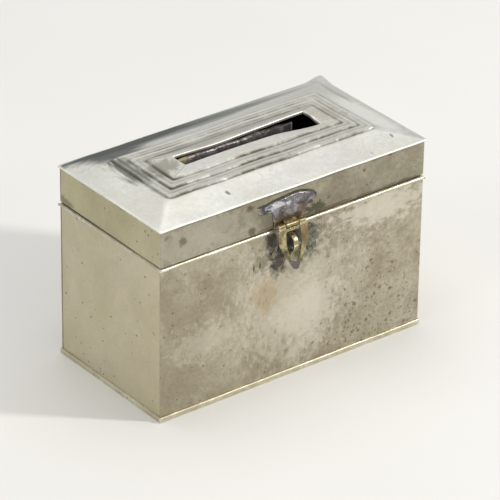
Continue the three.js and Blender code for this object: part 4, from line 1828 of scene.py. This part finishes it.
def rolled_strip(
    name: str, centre: Pair, outline: Sequence[Pair], x_span: Pair
) -> Piece:
    """A bent strip with the same outline all along X, its faces a little worn.

    Args:
        name: The piece's name.
        centre: The Y and Z added to the outline.
        outline: The strip's outline as (Y, Z), anticlockwise seen from its high-X end.
        x_span: Its two ends.

    Returns:
        The new piece.
    """
    rings = []
    steps = max(3, round((x_span[1] - x_span[0]) / 0.8))
    for x in np.linspace(*x_span, steps + 1):
        ring = []
        for y, z in outline:
            worn = 1.0 + 0.012 * wave(2.2, x, y * 2, z * 2)
            ring.append((x, centre[0] + y * worn, centre[1] + z * worn))
        rings.append(np.array(ring))
    return ring_piece(name, rings, looped=False)


def curl(radius: float, bore: float, start: float, end: float, steps: int = 30) -> list[Pair]:
    """The outline of a sheet that is rolled round a pin, in Y and Z, open between its two ends.

    Args:
        radius: Outside of the roll.
        bore: Inside of the roll.
        start: Angle of its first end, in degrees.
        end: Angle of its last end.
        steps: How many steps to take.

    Returns:
        Its outside from start to end, then its inside back.
    """
    return arc((0.0, 0.0), radius, start, end, steps) + arc((0.0, 0.0), bore, end, start, steps)


def pin(name: str, centre: Pair, radius: float, x_span: Pair) -> Piece:
    """A wire pin along X with hammered, domed ends.

    Args:
        name: The piece's name.
        centre: Its Y and Z.
        radius: Its radius.
        x_span: Its two ends.

    Returns:
        The new piece.
    """
    length = x_span[1] - x_span[0]
    stations = [0.0, 0.06, 0.16, 0.3, 0.5] + list(np.arange(1.2, length - 1.2, 1.5))
    stations += [length - s for s in (0.5, 0.3, 0.16, 0.06, 0.0)]
    rings = []
    for station in stations:
        end = min(station, length - station)
        size = radius * min(1.0, math.sqrt(max(0.02, 1 - (1 - min(end / 0.5, 1.0)) ** 2)))
        ring = []
        for angle in np.radians(np.arange(0.0, 360.0, 15.0)):
            worn = 1.0 - 0.03 * abs(wave(1.1, station, math.cos(angle), math.sin(angle)))
            y, z = size * worn * math.cos(angle), size * worn * math.sin(angle)
            ring.append((x_span[0] + station, centre[0] + y, centre[1] + z))
        rings.append(np.array(ring))
    return ring_piece(name, rings, looped=False)


def ray_reach(outline: Sequence[Pair], middle: Pair, angle: float) -> Pair:
    """Where a ray from the middle of an outline crosses it.

    Args:
        outline: The corners, in order.
        middle: Where the ray starts, inside the outline.
        angle: Its direction, in radians.

    Returns:
        The crossing.
    """
    direction = np.array([math.cos(angle), math.sin(angle)])
    corners = np.array(outline) - middle
    for first, second in zip(corners, np.roll(corners, -1, axis=0)):
        edge = second - first
        base = direction[0] * edge[1] - direction[1] * edge[0]
        if abs(base) < 1e-9:
            continue
        distance = (first[0] * edge[1] - first[1] * edge[0]) / base
        share = (first[0] * direction[1] - first[1] * direction[0]) / base
        if distance > 0 and -1e-6 <= share <= 1 + 1e-6:
            return middle[0] + direction[0] * distance, middle[1] + direction[1] * distance
    raise ValueError("the middle is outside the outline")


def mirrored(half: Sequence[Pair]) -> list[Pair]:
    """An outline from its right half, top to bottom, as (distance out, distance down)."""
    return [(x, -down) for x, down in half] + [(-x, -down) for x, down in reversed(half)]


@dataclass
class Hasp:
    """The swinging brass plate with its wide hole, and the leaf, pin and solder that hold it to the lid.

    Attributes:
        finishes: The finishes.
        axis: The pin's Y and Z.
        x: The middle of the hasp.
        hang: How far the plate hangs out, in degrees.
        thickness: The plate's thickness.
        leaf: The leaf's thickness.
        edge: The right half of its outline, as (distance from the middle, distance below the pin).
        hole: The right half of its hole, measured the same way.
        bend: Where its tip bends out.
        tip_turn: How far the tip bends out, in degrees.
        barrel: Outside and inside of its knuckles.
        barrel_half: Half the length of all the knuckles together.
        middle: Half the length of the leaf's knuckle.
        gap: Play between knuckles.
        around: How many points are round the plate.
    """

    finishes: Finishes
    axis: Pair = (-41.2, 80.2)
    x: float = -4.4
    hang: float = 8.5
    thickness: float = 0.8
    leaf: float = 0.7
    edge: tuple[Pair, ...] = ((7.6, 1.35), (8.1, 1.9), (8.2, 8.5), (1.75, 20.7), (1.2, 21.5), (0.5, 21.8))
    hole: tuple[Pair, ...] = ((3.6, 2.7), (4.1, 3.1), (4.3, 9.0), (3.0, 14.4), (2.1, 16.6), (1.0, 17.4))
    bend: float = 18.0
    tip_turn: float = 4.0
    barrel: Pair = (1.25, 0.8)
    barrel_half: float = 7.7
    middle: float = 3.7
    gap: float = 0.3
    around: int = 240

    def build(self) -> None:
        """Make the plate, the leaf, the pin and the solder."""
        self._plate()
        self._leaf()
        self._pin()
        self._solder()

    def _hung(self, points: np.ndarray) -> np.ndarray:
        """Bend the tip out, hang the plate at its angle and move it to its pin.

        Args:
            points: Points measured from the pin, as if the plate hung straight.

        Returns:
            The moved points.
        """
        turned = []
        for x, y, z in points:
            if z < -self.bend:
                angle = math.radians(self.tip_turn) * smoothstep(0.0, 1.2, -self.bend - z)
                down, out = -self.bend - z, y + self.barrel[0]
                y = -self.barrel[0] + out * math.cos(angle) - down * math.sin(angle)
                z = -self.bend - down * math.cos(angle) - out * math.sin(angle)
            angle = -math.radians(self.hang)
            hung_y = y * math.cos(angle) - z * math.sin(angle)
            hung_z = y * math.sin(angle) + z * math.cos(angle)
            turned.append((self.x + x, self.axis[0] + hung_y, self.axis[1] + hung_z))
        return np.array(turned)

    def _plate(self) -> None:
        """Make the plate and its two knuckles."""
        middle = (0.0, -9.4)
        angles = np.linspace(-math.pi, math.pi, self.around, endpoint=False)
        outer = np.array([ray_reach(mirrored(self.edge), middle, angle) for angle in angles])
        hole = np.array([ray_reach(mirrored(self.hole), middle, angle) for angle in angles])
        front, back = -self.barrel[0], -self.barrel[0] + self.thickness
        rows = [(0.0, front + 0.5), (0.0, front + 0.16), (0.02, front + 0.04), (0.06, front)]
        rows += [(share, front) for share in (0.16, 0.3, 0.45, 0.6, 0.75, 0.87)]
        rows += [(0.95, front + 0.02), (0.99, front + 0.08), (1.0, front + 0.2)]
        rows += [(1.0, back - 0.14), (0.96, back)]
        rows += [(share, back) for share in (0.7, 0.4, 0.08)]
        rings = []
        for share, y in rows:
            ring = []
            for x, z in outer * (1 - share) + hole * share:
                hammered = max(0.0, 0.09 * wave(2.6, x, z, 5.0) + 0.05 * wave(1.1, x, z, 15.0))
                ring.append((x, y + (hammered if y < front + 0.05 else 0.0), z))
            rings.append(self._hung(np.array(ring)))
        pieces = [ring_piece("plate", rings, looped=True)]
        inner = self.middle + self.gap
        outline = [(back - 0.02, -1.9), (front + 0.02, -1.9)] + curl(*self.barrel, 180.0, -128.0)
        for span in ((-self.barrel_half, -inner), (inner, self.barrel_half)):
            pieces.append(self._roll("knuckle", outline, span))
        fit(joined("hasp_plate", pieces), HASP, ["hasp"], self.finishes.brass)

    def _roll(self, name: str, outline: Sequence[Pair], span: Pair) -> Piece:
        """A knuckle of the plate, hung with it.

        Args:
            name: The piece's name.
            outline: Its outline as (Y, Z).
            span: Its two ends.

        Returns:
            The new piece.
        """
        rings = []
        for share in (0.0, 0.03, 0.1, 0.3, 0.5, 0.7, 0.9, 0.97, 1.0):
            x = span[0] + (span[1] - span[0]) * share
            slim = 0.94 if share in (0.0, 1.0) else 1.0
            ring = [(x, y * slim, z * slim) if z > -1.4 else (x, y, z) for y, z in outline[::-1]]
            rings.append(self._hung(np.array(ring)))
        return ring_piece(name, rings, looped=False)

    def _leaf(self) -> None:
        """Make the leaf that is soldered to the lid, with its one knuckle."""
        along, _, up = Side.FRONT.spans("hasp_leaf")
        panel = SheetPanel("leaf", Side.FRONT, along, (FRONT_FACE, FRONT_FACE + self.leaf), up, step=0.8)
        panel.relief = lambda a, u: 0.04 * wave(3.0, a, u, 4.0)
        outline = [(2.64, 2.4), (2.0, 2.4)] + curl(*self.barrel, 78.0, 372.0)
        span = (self.x - self.middle, self.x + self.middle)
        knuckle = rolled_strip("knuckle", self.axis, outline[::-1], span)
        leaf = joined("hasp_leaf_plate", [panel.build(), knuckle])
        fit(soften(leaf, 0.1), LID, ["hasp_leaf"], self.finishes.brass)

    def _pin(self) -> None:
        """Make the pin."""
        low, high = node_box("hasp_pin")
        wire = pin("hasp_pin_wire", self.axis, (high[2] - low[2]) / 2, (low[0], high[0]))
        fit(wire, LID, ["hasp_pin"], self.finishes.brass)

    def _solder(self) -> None:
        """Make the solder over the leaf's top, run out on the skirt, and the burnt flux round it."""
        outline = [
            (-12.2, 82.4), (-4.4, 82.9), (3.6, 82.8), (5.4, 84.0), (6.7, 86.0), (8.4, 87.6),
            (10.6, 88.0), (11.0, 89.6), (8.6, 91.4), (3.8, 92.9), (-1.0, 93.4), (-6.0, 93.0),
            (-11.5, 92.6), (-15.6, 91.9), (-19.4, 91.0), (-20.8, 89.4), (-19.2, 88.2), (-15.0, 89.0),
            (-13.2, 86.4),
        ]
        low, high = node_box("hasp_leaf_solder")
        thick = high[1] - low[1]

        def height(a: float, u: float) -> float:
            """How thick the solder is here."""
            ridge = 0.42 * hump(89.6, 1.7, u) * smoothstep(-20.0, -14.0, a) * smoothstep(10.0, 4.0, a)
            over_leaf = 0.34 * smoothstep(90.6, 88.6, u) * smoothstep(81.8, 83.4, u)
            lumps = 0.07 * wave(2.4, a, u, 2.0) + 0.05 * wave(0.9, a, u, 8.0)
            return thick * min(0.98, 0.4 + max(ridge, over_leaf) + lumps)

        patch = lump("hasp_solder", Side.FRONT, outline, -high[1], height, 240)
        spread = [(a * 1.1 + 0.5, 88.0 + (u - 88.0) * 1.27) for a, u in outline[4:15]]
        flux = lump("solder_flux", Side.FRONT, spread, -high[1] - 0.02, lambda a, u: 0.14, 160)
        fit(patch, LID, ["hasp_leaf_solder"], self.finishes.solder)
        fit(flux, LID, ["hasp_leaf_solder"], self.finishes.flux)


@dataclass
class Staple:
    """The brass loop on the box, with its crust of solder.

    Attributes:
        finishes: The finishes.
        x: Its middle.
        z: Its middle height.
        width: Width of its strip.
        thickness: Thickness of its strip.
        radius: Outside of its round nose.
        tail: How far its ends are clenched.
    """

    finishes: Finishes
    x: float = -3.7
    z: float = 70.2
    width: float = 2.6
    thickness: float = 1.0
    radius: float = 5.0
    tail: float = 3.2

    def build(self) -> None:
        """Make the loop and the solder."""
        low, high = node_box("staple")
        nose = low[1] + self.radius
        inside = high[1] - self.thickness / 2
        middle = self.radius - self.thickness / 2
        leg = [(inside, middle - self.tail), (inside, middle - 0.5), (inside - 0.5, middle)]
        leg += [(y, middle) for y in np.linspace(inside - 1.2, nose, 4)[:-1]]
        path = [(y, self.z + up) for y, up in leg]
        path += arc((nose, self.z), middle, 90.0, 270.0, 20)
        path += [(y, self.z - up) for y, up in reversed(leg)]
        line = np.array([(self.x, y, z) for y, z in path])
        along = np.gradient(line, axis=0)
        along /= np.linalg.norm(along, axis=1)[:, None]
        across = np.array([(1.0, 0.0, 0.0)] * len(line))
        outward = np.cross(along, across)
        loop = swept("staple_loop", line, across, outward, self._section())
        fit(loop, BODY, ["staple"], self.finishes.brass)
        self._solder()

    def _section(self) -> list[Pair]:
        """The strip's outline, with worn corners."""
        half, thick, corner = self.width / 2, self.thickness / 2, 0.28
        corners = [(half, thick), (-half, thick), (-half, -thick), (half, -thick)]
        section = []
        for quarter, (x, y) in enumerate(corners):
            centre = (x - math.copysign(corner, x), y - math.copysign(corner, y))
            section += arc(centre, corner, 90.0 * quarter, 90.0 * quarter + 90.0, 3)
        return section

    def _solder(self) -> None:
        """Make the crust of solder right of the loop, and the crust of verdigris at its foot."""
        outline = [
            (5.2, 65.5), (6.6, 61.4), (9.8, 59.6), (12.1, 62.5), (12.5, 69.0), (12.8, 72.5),
            (10.7, 75.2), (7.2, 75.9), (6.3, 71.5),
        ]
        low, high = node_box("staple_solder")
        thick = high[1] - low[1]

        def height(a: float, u: float) -> float:
            """How thick the crust is here."""
            return thick * (0.62 + 0.3 * wave(1.3, a, u, 2.0) + 0.2 * wave(0.6, a, u, 8.0))

        crust = lump("staple_crust", Side.FRONT, outline, -high[1], height, 140)
        foot = [(-6.4, 63.2), (-3.4, 62.0), (-1.2, 63.6), (-1.4, 66.4), (-4.0, 67.4), (-6.2, 66.0)]
        green = lump(
            "staple_verdigris", Side.FRONT, foot, FRONT_FACE, lambda a, u: 0.5 + 0.3 * wave(1.1, a, u), 90
        )
        fit(crust, BODY, ["staple_solder"], self.finishes.crust)
        fit(green, BODY, ["staple"], self.finishes.crust)


# ---- back hinge


@dataclass
class RearHinge:
    """The long hinge at the back: two leaves whose knuckles take turns on one pin.

    Attributes:
        finishes: The finishes.
        edge: Rounding of the leaves' edges.
    """

    finishes: Finishes
    edge: float = 0.1

    def build(self) -> None:
        """Dress the two leaves and make the pin."""
        for node in ("rear_hinge_body_leaf", "rear_hinge_lid_leaf"):
            leaf = bpy.data.objects[node]
            soften(leaf, self.edge, sharper_than=35.0)
            leaf.data.materials.clear()
            leaf.data.materials.append(self.finishes.hinge)
            LOG.info("%s keeps its own shape", node)
        low, high = node_box("rear_hinge_pin")
        centre = ((low[1] + high[1]) / 2, (low[2] + high[2]) / 2)
        wire = pin("rear_hinge_wire", centre, (high[2] - low[2]) / 2, (low[0], high[0]))
        fit(wire, BODY, ["rear_hinge_pin"], self.finishes.hinge)


# ---- studio


@dataclass
class Studio:
    """A pale floor, soft lights and the camera.

    Attributes:
        place: Where the camera is, in metres.
        forward: Where it looks.
        roll: How far it is rolled, in degrees.
        lens: Its focal length, in millimetres.
        sensor: Width of its sensor, in millimetres.
        floor_reach: How far the floor goes out each way, in millimetres.
    """

    place: Triple = (-0.8979, -1.1577, 0.8577)
    forward: Triple = (0.5379, 0.6901, -0.4842)
    roll: float = 0.857
    lens: float = 261.3
    sensor: float = 36.0
    floor_reach: float = 3000.0

    def build(self) -> None:
        """Set up the floor, the lights, the surroundings and the camera."""
        self._floor()
        self._surroundings()
        self._lamp("overhead", (0.1, 0.25, 1.5), (0.0, 0.0, 0.05), 1.5, 9.0)
        self._lamp("key", (1.1, -1.1, 1.0), (0.0, 0.0, 0.06), 0.16, 18.0)
        self._lamp("fill", (-1.4, -0.1, 0.7), (0.0, 0.0, 0.05), 0.9, 4.5)
        self._camera()
        bpy.context.scene.view_settings.view_transform = "Standard"

    def _floor(self) -> None:
        """Make a pale, slightly mottled floor."""
        corners = np.array([(-1, -1, 0), (1, -1, 0), (1, 1, 0), (-1, 1, 0)])
        floor = mesh_piece("studio_floor", corners * self.floor_reach, [(0, 1, 2, 3)])
        material = bpy.data.materials.new("studio_paper")
        material.use_nodes = True
        material.node_tree.nodes.clear()
        graph = Graph(material.node_tree)
        place = graph.add("ShaderNodeTexCoord").outputs["Object"]
        cloud = graph.cloud(place, 6.0, 3.0)
        colour = graph.blend(cloud, tone(224, 221, 214), tone(232, 229, 223))
        shader = graph.add("ShaderNodeBsdfPrincipled", {"Base Color": colour, "Roughness": 0.85})
        graph.add("ShaderNodeOutputMaterial", {"Surface": shader.outputs[0]})
        floor.data.materials.append(material)

    @staticmethod
    def _surroundings() -> None:
        """Light everything softly from all round."""
        world = bpy.data.worlds.new("studio_air")
        bpy.context.scene.world = world
        world.use_nodes = True
        background = world.node_tree.nodes["Background"]
        background.inputs["Color"].default_value = (0.93, 0.96, 1.0, 1.0)
        background.inputs["Strength"].default_value = 0.55

    @staticmethod
    def _lamp(name: str, place: Sequence[float], target: Sequence[float], size: float, power: float) -> None:
        """Hang a soft lamp.

        Args:
            name: The lamp's name.
            place: Where it is.
            target: What it faces.
            size: Its width.
            power: Its power in watts.
        """
        data = bpy.data.lights.new(name, "AREA")
        data.shape = "DISK"
        data.size = size
        data.energy = power
        lamp = bpy.data.objects.new(name, data)
        lamp.location = place
        lamp.rotation_euler = (Vector(target) - Vector(place)).to_track_quat("-Z", "Y").to_euler()
        bpy.context.scene.collection.objects.link(lamp)

    def _camera(self) -> None:
        """Place the camera."""
        data = bpy.data.cameras.new("studio_camera")
        data.lens = self.lens
        data.sensor_width = self.sensor
        data.clip_start = 0.05
        forward = Vector(self.forward).normalized()
        right = forward.cross(Vector((0.0, 0.0, 1.0))).normalized()
        up = right.cross(forward)
        turn = math.radians(self.roll)
        rolled_right = right * math.cos(turn) + up * math.sin(turn)
        rolled_up = rolled_right.cross(forward)
        pose = Matrix((rolled_right, rolled_up, -forward)).transposed().to_4x4()
        pose.translation = Vector(self.place)
        camera = bpy.data.objects.new("studio_camera", data)
        camera.matrix_world = pose
        bpy.context.scene.collection.objects.link(camera)
        bpy.context.scene.camera = camera


def main() -> None:
    """Build the money box round its frame."""
    logging.basicConfig(level=logging.INFO, format="%(name)s: %(message)s")
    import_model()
    Studio().build()
    finishes = Finishes()
    for assembly in (
        BoxShell(finishes),
        BaseTray(finishes),
        Collar(finishes),
        CornerSolder(finishes, "corner_solder", BODY),
        LidTop(finishes),
        LidSkirt(finishes),
        CornerSolder(finishes, "lid_solder", LID),
        SlotGuard(finishes),
        Hasp(finishes),
        Staple(finishes),
        RearHinge(finishes),
    ):
        assembly.build()


if __name__ == "__main__":
    main()
